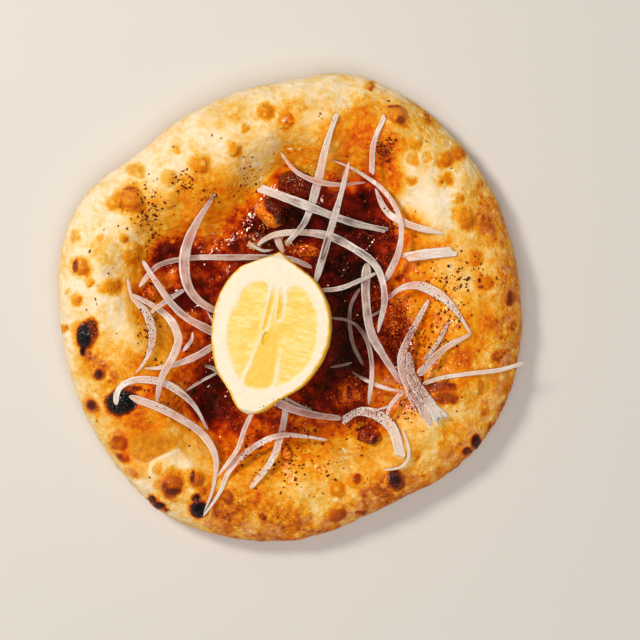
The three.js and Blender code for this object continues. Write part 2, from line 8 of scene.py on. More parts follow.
import bpy
import numpy as np
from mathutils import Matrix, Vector


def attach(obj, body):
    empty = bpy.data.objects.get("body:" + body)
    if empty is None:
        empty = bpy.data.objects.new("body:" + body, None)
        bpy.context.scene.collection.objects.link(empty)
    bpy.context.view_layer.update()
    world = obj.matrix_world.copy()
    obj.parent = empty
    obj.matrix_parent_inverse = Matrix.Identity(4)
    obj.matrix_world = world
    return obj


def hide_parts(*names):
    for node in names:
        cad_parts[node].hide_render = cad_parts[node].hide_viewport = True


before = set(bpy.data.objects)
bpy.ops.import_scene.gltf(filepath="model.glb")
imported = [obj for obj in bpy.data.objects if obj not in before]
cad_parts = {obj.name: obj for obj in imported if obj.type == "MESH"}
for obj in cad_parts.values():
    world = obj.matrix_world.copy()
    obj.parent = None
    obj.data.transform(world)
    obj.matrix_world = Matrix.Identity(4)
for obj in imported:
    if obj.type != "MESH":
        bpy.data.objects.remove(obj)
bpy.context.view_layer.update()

# The bread's form, as in its solid: radii in plan at equal angles from +X, then its section.
OUTLINE = [
    119.9, 119.5, 120.7, 122.4, 124.4, 125.1, 118, 114.7, 113.2, 112.5, 120.6, 123,
    119.8, 119.4, 120.1, 122.7, 125.5, 123.3, 120.7, 116, 114.6, 119.2, 121.9, 121.5,
]
SAUCE_EDGE = [
    60, 59, 65, 72, 76, 66, 72, 67, 55, 53, 66, 75,
    69, 55, 53, 71, 78, 73, 69, 69, 79, 63, 59, 61,
]
FLOOR_Z = 7.5
SAUCE_EDGE_Z = 10.9
CREST_Z = 25.5
CREST_AT = 0.5
WIDEST_Z = 10
BASE_SHARE = 0.91
RISE_STEEPNESS = 1.35
SIDE_ROUNDNESS = 0.9
SWELLS = 7
SWELL_LENGTH = 17
SWELL_LENGTH_STEP = 5.5
SWELL_HEIGHT = 0.34
# Waves in the height of the rim's crest: how many round it, their height and their phase.
CREST_WAVES = [(1, 1.6, -2.4), (3, 0.9, 1)]
# The wide dimple that the oil stands in: place, radius, and height, which is below 0.
OIL_DIMPLE = [-75, -66, 16, -2.5]

# How finely the bread's grid is cut: columns round it, rows across each part of its section.
BREAD_COLUMNS = 960
FLOOR_ROWS = 9
SLOPE_ROWS = 46
SIDE_ROWS = 62
LOWER_ROWS = 16
BASE_ROWS = 10
# Small bubbles strewn over the crust.
BUBBLES = 2100
BUBBLE_RADII = (0.6, 2.2)
BUBBLE_HEIGHT = 0.26
BUBBLE_SEED = 5

# Blisters: place, radius, height (below 0 for a dent), and how brown they are, from 0, pale
# dough, to 1, black.
BLISTERS = [
    [-81, 55, 7.2, 2.6, 0.54], [-90, 54, 3.8, 1.4, 0.46], [-79, 70, 4.2, 0.9, 0.46],
    [-62, 66, 4.6, 0.9, 0.4], [-61, 55, 4.6, 0.9, 0.32], [-46, 73, 5.2, 1.1, 0.48],
    [-29, 81, 3.8, 0.8, 0.5], [-12, 100, 4, 0.9, 0.56], [-2, 96, 4.4, 0.9, 0.56],
    [-40, 97, 7.2, 0.9, 0.28], [-107, 21, 4.6, 1.6, 0.56], [-81, 28, 5.2, 0.9, 0.48],
    [-92, 11, 4.7, 1, 0.51], [-105, -15, 6, 2, 0.6], [-98, -34, 3.4, 1.5, 0.6],
    [-102, -50, 4.3, 1.4, 0.58], [-87, -48, 7, 2.2, 0.6], [-88, -69, 4.6, 1.4, 0.6],
    [-86.5, -75.5, 3.6, 1.2, 0.58], [-61, -91, 6, 1.8, 0.6], [-48, -88, 4.4, 1.4, 0.58],
    [-47, -103, 5, 1.6, 0.6], [-69, -101, 4.4, 1.4, 0.58], [24, -93, 4.8, 0.9, 0.54],
    [24, -106, 4.8, 1, 0.6], [55, 99, 5.4, 1.5, 0.56], [64, 85, 4.4, 0.9, 0.5],
    [80, 76, 4.2, 0.8, 0.58], [90, 46, 6, 1.3, 0.54], [95, 25, 4.2, 0.9, 0.5],
    [99, 13, 4.4, 1, 0.52], [95, -69, 4.5, 1.2, 0.5], [97, -40, 5, 1, 0.3],
    [80, -74, 4.4, 0.9, 0.54], [54, -89, 5.4, 1.8, 0.6], [33, -89, 4.4, 1, 0.44],
    [89, -75, 4, 1, 0.56], [78, -46, 5.4, -1.2, 0.3],
]
# Which blisters are creased, counted from 0.
CREASED = (0, 1, 2)
# Lower blisters that only show as relief and colour on the finished crust.
LOW_BLISTERS = [
    [-23, 92, 2.6, 0.5, 0.46], [-58, 81, 2.6, 0.4, 0.34], [6, 103, 3.1, 0.4, 0.36],
    [-111, 36, 3.1, 0.5, 0.4], [-97, 36, 2.1, 0.4, 0.44], [-85, 36, 2.6, 0.5, 0.42],
    [-70, 28, 3.1, 0.5, 0.48], [-103, 13, 2.6, 0.4, 0.46], [-109, 4, 2.6, 0.5, 0.5],
    [-114, 8, 1.5, 0.3, 0.5], [-81, -85, 3.1, 0.6, 0.52], [-68, -83, 3.1, 0.5, 0.4],
    [-117, -11, 2.1, 0.4, 0.54], [-32, -97, 3.4, 0.5, 0.62], [-23, -101, 3.1, 0.5, 0.58],
    [-14, -107, 2.6, 0.4, 0.6], [-3, -105, 3.1, 0.5, 0.54], [8, -107, 3.1, 0.5, 0.48],
    [-42, -111, 3.1, 0.4, 0.5], [41, 114, 2.1, 0.3, 0.54], [63, 76, 3.8, -0.3, 0.4],
    [70, 77, 3.1, -0.3, 0.42], [62, 65, 3.2, -0.3, 0.4], [87, 79, 3.6, 0.6, 0.58],
    [79, 66, 3.6, 0.6, 0.52], [86, 56, 3.1, 0.5, 0.5], [97, 64, 2.6, 0.4, 0.42],
    [113, 5, 4, 0.6, 0.58], [114, -9, 2.6, 0.4, 0.62], [107, -25, 3.1, 0.5, 0.6],
    [99, -51, 4, 0.6, 0.36], [64, -75, 3.1, 0.5, 0.5], [36, -106, 3.1, 0.5, 0.4],
]
# Dark patches: place, half sizes along X and Y, and how brown they are. Most are scorched crust; the
# rows at (79.4, -46.6), in a dimple, and at (77, -40.4), along an onion sliver, are painted shade, and
# those at (-79, -41.4) and (-80.5, -45.5) are partly a sliver's painted shadow.
SCORCHES_AND_SHADE = [
    [-105.6, -14.4, 3.6, 6.2, 1.0], [-106.6, -22.5, 1.6, 2.2, 0.92],
    [-101.5, -10.5, 3.6, 5.6, 0.72], [-86.4, -48.8, 7.8, 6, 1.0], [-80.5, -45.5, 3, 2.4, 0.86],
    [-46.8, -103.8, 4.6, 3.8, 1.0], [-48.5, -97.5, 2.4, 2.4, 0.84], [53.6, -88, 3.2, 4.6, 0.84],
    [56.5, -91, 2.4, 2.6, 0.72], [-63.8, -91.6, 1.6, 2.4, 0.7], [-59.8, -93.8, 3.8, 1.8, 0.78],
    [-71.2, -98.6, 2.4, 2, 0.84], [-67.2, -101.6, 3, 1.7, 0.86], [-63.6, -103.8, 1.8, 1.1, 0.7],
    [-102, -49.8, 2.6, 2.2, 0.8], [-97.8, -34.1, 1.9, 2, 0.82], [-109.7, 21.3, 1.5, 3.2, 0.7],
    [95.6, -68.8, 2.6, 3.8, 0.84], [91.2, -74, 3, 2, 0.78], [112.8, 4.6, 1.7, 3.8, 0.74],
    [53.2, 103, 3.4, 1.1, 0.64], [56.4, 96, 2.2, 1.8, 0.68], [-82.5, 60.5, 3.2, 1, 0.62],
    [-86, 52, 1.3, 3.6, 0.6], [-89, -67.5, 2.2, 1.6, 0.66], [-49.8, -86.4, 1.1, 2.8, 0.76],
    [97.4, -41, 1.7, 5.6, 0.5], [99.8, -52.6, 2.2, 5, 0.52], [79.4, -46.6, 6.4, 3.6, 0.66],
    [73, -42, 3.6, 2.2, 0.56], [34.4, -87.8, 2.2, 2.8, 0.68], [36.4, -105.4, 3, 1.4, 0.64],
    [24, -106, 3, 2.4, 0.6], [-79, -41.4, 4, 1.8, 0.72], [77, -40.4, 8, 2.6, 0.66],
    [-87.6, -76.4, 1.8, 1.4, 0.68],
]
# Wide brown patches: place, reach, and how much browner or paler the crust is there. Some are painted
# shade: those along the right and lower rim, which turns away from the window, and those beside the
# slivers' shadows from (76, -32) to (84, -44) and at (-78, -43).
BROWNINGS_AND_SHADE = [
    [-2, 98, 9, 0.16], [24, 84, 14, 0.14], [38, 94, 14, 0.24], [34, 86, 9, 0.2], [58, 92, 12, 0.2],
    [8, 74, 12, 0.12], [-14, 77, 10, -0.02], [12, 98, 8, -0.1], [75, 80, 12, 0.04],
    [64, 58, 12, -0.16], [78, 52, 9, -0.12], [94, 58, 9, 0.16], [88, 36, 7, 0.1],
    [104, 46, 11, 0.34], [112, 20, 12, 0.22], [106, -8, 12, 0.28], [88, -24, 8, 0.2],
    [108, -32, 14, 0.26], [98, -58, 14, 0.1], [84, -44, 10, 0.28], [84, -70, 12, 0.22],
    [68, -84, 14, 0.2], [74, 26, 16, 0.1], [42, -97, 14, 0.26], [16, -98, 12, 0.12],
    [-18, -104, 14, 0.25], [-30, -110, 12, 0.26], [-40, -98, 12, 0.34], [-60, -94, 10, 0.14],
    [-56, -81, 9, -0.1], [-80, -76, 10, 0.2], [-94, -58, 12, 0.2], [-100, -22, 12, 0.16],
    [-94, -34, 11, 0.16], [-96, 4, 14, -0.06], [-80, -32, 12, 0.18], [-78, -43, 6, 0.2],
    [-84, -6, 10, -0.02], [66, -68, 12, 0.06], [70, 95, 8, 0.26], [-8, 84, 9, -0.04],
    [0, -111, 10, 0.34], [14, -104, 7, -0.12], [55, -98, 7, 0.2], [47, -97, 7, 0.3],
    [-1, 80, 5, 0.3], [96, -16, 7, 0.2], [80, -30, 9, 0.2], [-48, 64, 8, 0.14], [-71, 55, 8, 0.28],
    [-97, 26, 9, 0.14], [76, -32, 6, 0.2], [-105, -25, 6, 0.3], [-32, 96, 10, 0.1],
    [-78, 46, 7, 0.2],
]
# How far oil and sauce have seeped in, from 0, dry, through orange oil at 0.4 and red sauce at 0.6,
# to 1, black-red: place, reach, and level. Some patches are painted shade: the dark ones at (-62, 31)
# and (-50, 31) between the crust and the slivers, at (-19, 43) and (-17, 37) beside the charred block,
# and in part the black hollow right of the lemon. The low ones at (-66, -14) and (-66, -22) are
# painted light on a slope that faces away from the window.
SOAKED_AND_SHADE = [
    [-65, 42, 7, 0.26], [-64, 48, 5, 0.2], [-40, 52, 10, 0.38], [-48, 57, 6, 0.34],
    [-36, 41, 5, 0.6], [-27, 45, 6, 0.68], [-22, 49, 4, 0.68], [-62, 31, 5, 0.84],
    [-63, 25, 5, 0.86], [-50, 31, 6, 0.86], [-42, 38, 6, 0.46], [-30, 33, 6, 0.72],
    [-17, 37, 5, 0.8], [-19, 43, 4, 0.96], [-64, 16, 7, 0.58], [-72, 8, 6, 0.46],
    [-38, 15, 10, 0.65], [-48, 20, 5, 0.74], [-50, 10, 4, 0.78], [-56, 3, 6, 0.92],
    [-73, -2, 5, 0.26], [-66, -14, 8, 0.22], [-66, -22, 6, 0.24], [-50, -6, 6, 0.52],
    [-48, -18, 7, 0.58], [-58, -35, 6, 0.46], [-42, -47, 9, 0.94], [-36, -38, 6, 0.9],
    [-33, -64, 7, 0.64], [-18, -60, 9, 0.58], [-28, -76, 7, 0.42], [-10, -82, 9, 0.32],
    [-12, -69, 5, 0.52], [-66, -46, 6, 0.44], [-57, -52, 5, 0.5], [-75, -50, 6, 0.34],
    [-56, -66, 7, 0.28], [-46, -72, 6, 0.2], [-56, -82, 8, 0.04], [-22, 66, 7, 0.14],
    [-10, 73, 3, 0.24], [-17, 78, 7, 0.1], [74, 42, 5, 0.02], [10, 80, 10, 0.18], [12, 92, 8, 0.12],
    [34, 88, 7, 0.44], [33, 78, 10, 0.34], [0, 66, 7, 0.6], [27, 62, 8, 0.62], [48, 80, 6, 0.5],
    [40, 72, 5, 0.46], [52, 64, 6, 0.42], [66, 58, 7, 0.02], [66, 70, 6, 0.06], [47, 52, 5, 0.6],
    [38, 54, 7, 0.92], [41, 64, 4, 0.7], [26, 48, 10, 0.96], [38, 38, 8, 0.94], [49, 33, 6, 0.78],
    [60, 42, 6, 0.42], [66, 34, 7, 0.36], [56, 17, 6, 0.56], [68, 20, 8, 0.38], [88, 16, 10, 0.14],
    [30, 16, 12, 1], [28, -8, 12, 1], [27, -30, 10, 1], [44, 6, 5, 0.7], [45, -10, 4, 0.62],
    [55, -12, 7, 0.68], [52, -25, 6, 0.76], [58, 0, 5, 0.5], [68, 4, 8, 0.36], [76, -12, 9, 0.38],
    [66, -26, 6, 0.44], [88, -6, 8, 0.3], [84, -30, 8, 0.16], [48, -35, 5, 0.46], [47, -45, 5, 0.5],
    [56, -50, 7, 0.42], [14, -46, 8, 0.86], [30, -45, 8, 0.6], [20, -62, 8, 0.52],
    [42, -63, 7, 0.52], [0, -61, 8, 0.54], [10, -73, 9, 0.3], [32, -77, 9, 0.2], [48, -72, 6, 0.12],
    [-2, -76, 5, 0.36], [56, -64, 7, 0.14], [82, -52, 7, 0.04], [-10, -13, 30, 0.75],
    [-52, 44, 8, 0.3], [-33, 56, 8, 0.36], [-20, 56, 6, 0.54], [-54, 38, 5, 0.56], [3, 46, 6, 1],
    [-74, -74, 7, 0.26], [-75, -58, 7, 0.44], [-71, -43, 6, 0.46], [78, 4, 6, 0.34],
    [62, -40, 6, 0.42], [-68, -30, 6, 0.28], [68, 10, 6, 0.36],
]
SOAK_REST = 0.05
# The outline of the oil that stands in a dimple of the crust, and its level.
POOL = [
    [-82, -64], [-73, -60], [-62, -62], [-56.5, -69],
    [-62, -74], [-70.5, -77.6], [-78, -78.6], [-83, -72],
]
POOL_Z = 23.7
# The pale fold of dough beside that oil.
FOLD = [[-57, -73.3], [-63, -75.4], [-68.6, -77.8], [-71.2, -80.6], [-71.6, -85]]

# The sauce: its level and lumps as in its solid, then how finely its grid is cut.
SAUCE_Z = 11.5
SAUCE_GAP = 0.35
SAUCE_EDGE_THICKNESS = 0.7
LUMP_HEIGHT = 0.28
SAUCE_COLUMNS = 720
SAUCE_ROWS = 112
SAUCE_REACH = 1.14
SAUCE_UNDER_STEP = 6
SAUCE_SINK = 1.2

# The lemon half: half widths along its length, finer at its ends than in its solid, then its
# place, turn and cut as there.
LEMON_PROFILE = [
    [-41.9, 0], [-41.5, 3], [-40.2, 6], [-36.3, 10], [-32.7, 12.6], [-28.2, 17.3], [-23.6, 22],
    [-17.7, 25.4], [-8.9, 28.7], [0, 30.3], [7.9, 30.2], [15.7, 28.5], [21, 26.4], [25.2, 23.9],
    [30.7, 19.4], [35.7, 10.4], [38.8, 4.6], [40.9, 1.6], [41.4, 0],
]
LEMON_X = -9.6
LEMON_Y = -13.4
LEMON_TURN = 11.1
LEMON_TILT = 8
LEMON_BOW = 3.4
LEMON_RADIUS = 30.4
LEMON_BOTTOM_Z = 8.7
LEMON_ABOVE_CORE = 4
LEMON_HALF_LENGTH = 41
LEMON_GAP = 0.6
LEMON_ENDS = (-41.8, 41.3)
LEMON_STATIONS = 250
LEMON_RIND_STEPS = 80
LEMON_FACE_STEPS = 180
ZEST_WIDTH = 1.3
PULP_DEPTH = 0.3
# Outlines on the cut face, in millimetres across and along it.
PULP_LEFT = [
    [-11.6, 24.6], [-17.4, 19.4], [-19.2, 13.5], [-21.8, 6.4], [-22, -2.3], [-20.4, -9.8], [-17, -16.9],
    [-13.2, -22], [-8, -26.4], [-6, -16], [-4.9, -9.3], [-4.2, 0.1], [-3.7, 8], [-3.2, 17], [-3, 22.8],
    [-5.8, 26],
]
PULP_RIGHT = [
    [5.6, 23.6], [9.9, 26.6], [15, 25.4], [19.6, 20.2], [22.8, 13.7], [24.4, 6.6], [25, -0.9],
    [24.2, -8.8], [21.7, -15], [17.6, -20.4], [13, -24.2], [9.4, -26], [8, -14], [5.2, 0.3], [5, 9],
    [5.4, 18],
]
WEDGE = [
    [-1.4, 1.2], [-3.6, -4.5], [-5.4, -14], [-7.4, -24], [-5.4, -28.6], [1, -28.8], [6.8, -27.2],
    [8.6, -22], [6.4, -10], [4, 0], [1.4, 4],
]
# Slots between the segments: ends and half width.
SLOTS = [[-1.1, 23, -3.2, 2, 1.0], [3.1, 23, 3.3, 9, 1.25]]
SEED_HOLE = [-1.6, -2.6, 1.7, 3.4]
JUICE_SPOTS = [[-7.7, 1.4, 2.6], [7, 3.4, 3], [3.5, 11, 1.6]]

# Onion slivers: how many there are, how finely their grids are cut, and their tips.
SLIVERS = 47
SLIVER_STEP = 0.6
SLIVER_SIDES = 20
SLIVER_TIP = 1.6
SLIVER_FLATNESS = 0.64
FRAYED_SLIVERS = {"onion_34", "onion_35"}
FRAY_LENGTH = 6
# Slivers with blunt ends, cut aslant.
BLUNT_SLIVERS = {"onion_40": -1.4, "onion_45": 0.6, "onion_21": 0.8, "onion_38": 0.5}
BLUNT_TIP = 1.1
# How pink some slivers are.
PINK_SLIVERS = {
    "onion_15": 0.6, "onion_34": 0.8, "onion_46": 0.9, "onion_20": 0.6, "onion_33": 0.45,
    "onion_35": 0.4, "onion_14": 0.25, "onion_13": 0.4, "onion_10": 0.15, "onion_11": 0.15,
    "onion_09": 0.15, "onion_36": 0.4, "onion_30": 0.3, "onion_29": 0.3,
}
# Slivers that look golden up to a place along X, and how deep their gold is.
GOLDEN_SLIVERS = {"onion_01": (0.34, 50), "onion_02": (0.3, 50), "onion_43": (0.22, 14)}
# Slivers painted dark: they lie deep in the dark sauce, or are so thin that it shows through. For those
# in the lemon's shadow, such as onion_28 and onion_29, the dark is partly painted shade.
SUNKEN_AND_SHADED_SLIVERS = {
    "onion_26": 0.8, "onion_27": 0.8, "onion_28": 0.75, "onion_29": 0.6, "onion_25": 0.3,
    "onion_30": 0.12, "onion_13": 0.12, "onion_04": 0.3, "onion_37": 0.15, "onion_05": 0.2,
}

# Roasted pieces: how orange they are (0 is dark red), how much of them is charred, and the heading
# of the side that stays orange, in degrees.
ROASTED = {
    "roasted_1": [1, 0.5, 222], "roasted_2": [0.1, 0.3, 200], "roasted_3": [0.45, 0, 200],
    "roasted_4": [0.06, 0, 250], "roasted_5": [0.6, 0.1, 270], "roasted_6": [0.6, 0, 200],
    "roasted_7": [0.75, 0, 200], "roasted_8": [0.35, 0, 200],
}
# The piece with one side cut flat.
BLOCK = "roasted_1"
CUTS = 7

# Chopped bits in the sauce: place, spread, how many, size, and how orange they are.
BITS = [
    [-52, -34, 7, 50, 0.6, 0.1], [-66, 12, 7, 60, 0.6, 0.7], [-44, 38, 9, 90, 0.6, 0.8],
    [-16, 31, 4, 16, 0.7, 0.8], [-24, 36, 6, 26, 0.5, 0.7], [0, 33, 5, 30, 0.7, 0.8],
    [-20, 32, 2.4, 12, 1.3, 0.95], [-5, 35, 3, 26, 1.2, 0.9], [4, 62, 9, 220, 0.5, 0.3],
    [34, -62, 12, 70, 0.5, 0.4], [31, -44, 7, 24, 0.7, 0.35], [-6, -58, 12, 120, 0.5, 0.4],
    [34, 36, 16, 60, 0.6, 0.1], [50, 41, 5, 90, 0.9, 0.12], [49, 25, 5, 90, 0.9, 0.12],
    [52, -6, 8, 330, 0.75, 0.4], [54, -20, 8, 240, 0.75, 0.25], [25, -43, 3, 14, 1.1, 0.2],
    [34, -38, 5, 14, 0.9, 0.45], [-30, -50, 12, 90, 0.5, 0.2], [-40, -14, 12, 90, 0.5, 0.5],
    [46, 10, 9, 90, 0.5, 0.4], [-56, 22, 8, 70, 0.5, 0.4], [-7, 52, 6, 150, 0.45, 0.15],
    [-12, 44, 5, 30, 0.4, 0.8], [10, -70, 22, 160, 0.45, 0.8], [62, 2, 12, 110, 0.45, 0.8],
    [-25, -68, 10, 110, 0.5, 0.6], [26, -16, 30, 50, 0.5, 0],
]
BIT_SIDES = 5
BIT_SPREAD = 0.55
BIT_SEED = 7

# Pepper and sumac: place, spreads along X and Y, how many, and the share that is dark red.
PEPPER = [
    [-71, 46, 6, 14, 150, 0.3], [-53, 63, 8, 7, 70, 0.4], [-42, 56, 4, 4, 26, 0.2],
    [-21, 66, 6, 10, 46, 0.5], [49, 80, 4, 6, 130, 0.5], [70, -22, 12, 26, 240, 0.6],
    [84, 14, 18, 11, 130, 0.4], [2, -81, 22, 12, 170, 0.4], [-20, -74, 7, 7, 50, 0.3],
    [38, -59, 12, 8, 110, 0.6], [-73, -11, 5, 16, 90, 0.1], [-62, -46, 12, 12, 60, 0.2],
    [45, 40, 10, 22, 50, 0.4], [14, -60, 22, 8, 70, 0.6], [60, -52, 9, 8, 70, 0.8],
    [0, 0, 80, 80, 330, 0.3], [-9, -50, 6, 3, 12, 0.3], [61, -18, 3.5, 16, 130, 0.7],
    [66, -42, 4, 7, 50, 0.4], [40, -54, 7, 3, 40, 0.4], [84, -4, 5, 6, 50, 0.8],
]
FLAKE_SIZE = 0.62
FLAKE_SIDES = 4
FLAKE_SPREAD = 0.6
FLAKE_SEED = 11
PEPPER_DENSITY = 1.4
PEPPER_LOWEST_Z = 8
DUST_FULL = 2.4
# The lemon's face above this level stays free of pepper, but for the nub at its lower end.
LEMON_CLEAN_Z = 33
LEMON_NUB_Y = -44

# The view: straight down from above, over the photograph's middle.
VIEW_X = 15.3
VIEW_Y = -6.4
VIEW_HEIGHT = 1000
VIEW_WIDTH = 336
SENSOR = 36
# How bright the surroundings are low down and straight above, where the camera looks from.
SKY_LOW = 0.22
SKY_TOP = 0.035
SKY_HEIGHTS = (0.55, 0.95)
SKY_COLOR = (1, 0.93, 0.84, 1)
# Lights: direction from the bread, distance and size in metres, power, colour, and whether they
# show as glints.
LIGHTS = {
    "window": [(-0.68, 0.5, 0.95), 1.4, 0.3, 11, (1, 0.94, 0.85), True],
    "fill": [(0.1, -0.3, 1.2), 1.6, 1.4, 15, (1, 0.96, 0.94), False],
}
# Half the side of the floor, and how high the rays start that look for the topmost piece, in metres.
FLOOR_HALF = 3
RAY_START = 0.2


def mix(a, b, t):
    return a + (b - a) * t


def smooth(value, low=0.0, high=1.0):
    t = np.clip((value - low) / (high - low), 0, 1)
    return t * t * (3 - 2 * t)


def lattice(i, j, k, seed):
    """A fixed value from 0 to 1 at each whole-numbered place."""
    n = i * 73856093 ^ j * 19349663 ^ k * 83492791 ^ (seed * 7919 + 1)
    n = (n ^ (n >> 13)) & 0x7FFFFFFF
    n = (n * (n * n * 15731 + 789221) + 1376312589) & 0x7FFFFFFF
    return n / 0x7FFFFFFF


def noise(points, size, seed):
    """Smooth noise from -1 to 1, with bumps about this size."""
    place = points / size
    cell = np.floor(place).astype(np.int64)
    t = place - cell
    t = t * t * (3 - 2 * t)
    total = np.zeros(len(points))
    for step in itertools.product((0, 1), repeat=3):
        weight = np.ones(len(points))
        for axis in range(3):
            weight *= t[:, axis] if step[axis] else 1 - t[:, axis]
        total += weight * lattice(*(cell[:, axis] + step[axis] for axis in range(3)), seed)
    return 2 * total - 1


def cloud(points, size, seed, layers=3):
    """Noise with finer noise on it."""
    total = np.zeros(len(points))
    for layer in range(layers):
        total += noise(points, size / 2**layer, seed + layer) / 2**layer
    return total


def grains(points, size, seed):
    """How far each point is from the nearest of scattered seeds, in units of their spacing."""
    place = points / size
    cell = np.floor(place).astype(np.int64)
    least = np.full(len(points), 9.0)
    for step in itertools.product((-1, 0, 1), repeat=3):
        corner = cell + np.array(step)
        away = np.zeros(len(points))
        for axis in range(3):
            jitter = lattice(corner[:, 0], corner[:, 1], corner[:, 2], seed + 31 * axis)
            away += (corner[:, axis] + jitter - place[:, axis]) ** 2
        least = np.minimum(least, away)
    return np.sqrt(least)


def bell(x, y, px, py, reach):
    """A soft round spot, from 1 at its middle to almost 0 past its reach."""
    return np.exp(-((x - px) ** 2 + (y - py) ** 2) / reach**2)


def patches(x, y, rows):
    """The sum of soft round patches: place, reach, strength."""
    total = np.zeros_like(x)
    for px, py, reach, strength in rows:
        total += strength * bell(x, y, px, py, reach)
    return total


def soaking_and_shade(x, y, place):
    """How far oil and sauce have seeped in at each place, with the painted shade and painted light of some
    of the table's patches.
    """
    outward = np.hypot(x, y) - around(SAUCE_EDGE, np.arctan2(y, x))
    weight = np.full_like(x, SOAK_REST)
    total = weight * np.interp(outward, [-6, 0, 6, 18], [0.66, 0.5, 0.2, 0])
    for px, py, reach, level in SOAKED_AND_SHADE:
        near = bell(x, y, px, py, reach)
        weight += near
        total += near * level
    level = total / weight
    ragged = 0.09 * cloud(place, 7, 31, 2) + 0.035 * noise(place, 1.6, 34)
    return np.clip(level + ragged * smooth(level, 0, 0.2), 0, 1)


def dusted(x, y):
    """How densely the finest pepper and sumac lie at each place, from 0 to 1."""
    total = np.zeros_like(x)
    for px, py, spread_x, spread_y, count, _ in PEPPER:
        away = ((x - px) / spread_x) ** 2 + ((y - py) / spread_y) ** 2
        total += count / (spread_x * spread_y) * np.exp(-away)
    return np.clip(total / DUST_FULL, 0, 1)


def catmull_rom(a, b, c, d, t):
    """A smooth curve through four values in a row, from the second (0) to the third (1)."""
    return b + 0.5 * t * (c - a + t * (2 * a - 5 * b + 4 * c - d + t * (3 * (b - c) + d - a)))


def around(values, angle):
    """A value at any angle, on a smooth closed curve through values set at equal angles."""
    values = np.array(values, float)
    count = len(values)
    place = (angle / math.tau) % 1 * count
    first = np.floor(place).astype(int)
    t = place - first
    a, b, c, d = (values[(first + step) % count] for step in (-1, 0, 1, 2))
    return catmull_rom(a, b, c, d, t)


def swell(x, y):
    z = np.zeros_like(x)
    for i in range(SWELLS):
        heading = 2.4 * i
        wave = math.tau / (SWELL_LENGTH + SWELL_LENGTH_STEP * i)
        z += SWELL_HEIGHT * np.sin(wave * (x * math.cos(heading) + y * math.sin(heading)) + 1.7 * i)
    return z


def blisters(x, y):
    z = np.zeros_like(x)
    for bx, by, radius, height, *_ in [*BLISTERS, OIL_DIMPLE]:
        share = ((x - bx) ** 2 + (y - by) ** 2) / radius**2
        z += height * np.clip(1 - share, 0, 1) ** 1.5
    return z


def crest_height(angle):
    waves = (height * np.cos(count * angle + phase) for count, height, phase in CREST_WAVES)
    return sum(waves, CREST_Z)


def crest_radius(angle):
    return mix(around(SAUCE_EDGE, angle), around(OUTLINE, angle), CREST_AT)


def at(angle, radius, z):
    return np.stack([radius * np.cos(angle), radius * np.sin(angle), z], -1)


def lift(place, share):
    """Raises points of the rim by a share of its swells and blisters."""
    x, y = place[..., 0], place[..., 1]
    place[..., 2] += (swell(x, y) + blisters(x, y)) * share
    return place


def floor_point(angle, share):
    z = mix(FLOOR_Z, SAUCE_EDGE_Z, share**3) * np.ones_like(angle)
    return at(angle, around(SAUCE_EDGE, angle) * share, z)


def slope_point(angle, share):
    """The rim's inner slope, from the sauce's edge (0) to the crest (1)."""
    radius = mix(around(SAUCE_EDGE, angle), crest_radius(angle), share)
    rise = np.sin(share * math.pi / 2) ** RISE_STEEPNESS
    place = at(angle, radius, mix(SAUCE_EDGE_Z, crest_height(angle), rise))
    return lift(place, smooth(share, 0, 0.35))


def side_point(angle, share):
    """The rim's outer side, from the crest (0) to its widest line (1)."""
    lean = share * math.pi / 2
    radius = mix(crest_radius(angle), around(OUTLINE, angle), np.sin(lean))
    place = at(angle, radius, mix(WIDEST_Z, crest_height(angle), np.cos(lean) ** SIDE_ROUNDNESS))
    return lift(place, max(math.cos(lean), 0) ** 0.5)


def under_point(angle, share):
    """The rounded lower edge, from the widest line (0) to the flat underside (1)."""
    lean = share * math.pi / 2
    widest = around(OUTLINE, angle)
    radius = mix(widest * BASE_SHARE, widest, math.cos(lean))
    return at(angle, radius, WIDEST_Z * (1 - math.sin(lean)) * np.ones_like(angle))


def grid_normals(grid):
    """Outward normals of a grid of rings, whose columns close on themselves."""
    ahead = np.roll(grid, -1, axis=1) - np.roll(grid, 1, axis=1)
    out = np.gradient(grid, axis=0)
    normals = np.cross(out, ahead)
    return normals / np.maximum(np.linalg.norm(normals, axis=-1, keepdims=True), 1e-9)


def ring_faces(rows, columns):
    row = np.arange(rows - 1)[:, None] * columns
    column = np.arange(columns)[None, :]
    after = (column + 1) % columns
    corners = [row + column, row + columns + column, row + columns + after, row + after]
    return np.stack(corners, -1).reshape(-1, 4).tolist()


def closed_rings(grid):
    """Points and faces of a closed body from a grid of rings, with a fan over each end."""
    rows, columns = grid.shape[:2]
    points = np.concatenate([grid.reshape(-1, 3), grid[:1].mean(1), grid[-1:].mean(1)])
    faces = ring_faces(rows, columns)
    first = rows * columns
    last = (rows - 1) * columns
    for i in range(columns):
        after = (i + 1) % columns
        faces.append([first, i, after])
        faces.append([first + 1, last + after, last + i])
    return points, faces


def with_ends(fields):
    """Fields on a grid, with a value more for the middle point of each end."""
    return {key: np.append(values, [values[0, 0], values[-1, 0]]) for key, values in fields.items()}


def gathered(items, key="co"):
    """A vector of each vertex, as rows."""
    values = np.zeros(len(items) * 3)
    items.foreach_get(key, values)
    return values.reshape(-1, 3)


def build(name, points, faces, material, nodes, fields):
    """A piece of the object from points in millimetres, in the place of its CAD nodes."""
    mesh = bpy.data.meshes.new(name)
    mesh.from_pydata((np.asarray(points) / 1000).tolist(), [], faces)
    mesh.polygons.foreach_set("use_smooth", [True] * len(faces))
    for key, values in fields.items():
        layer = mesh.attributes.new(key, "FLOAT", "POINT")
        layer.data.foreach_set("value", np.asarray(values, np.float32))
    mesh.materials.append(material)
    piece = bpy.data.objects.new(name, mesh)
    bpy.context.scene.collection.objects.link(piece)
    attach(piece, "root")
    if nodes:
        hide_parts(*nodes)
    return piece


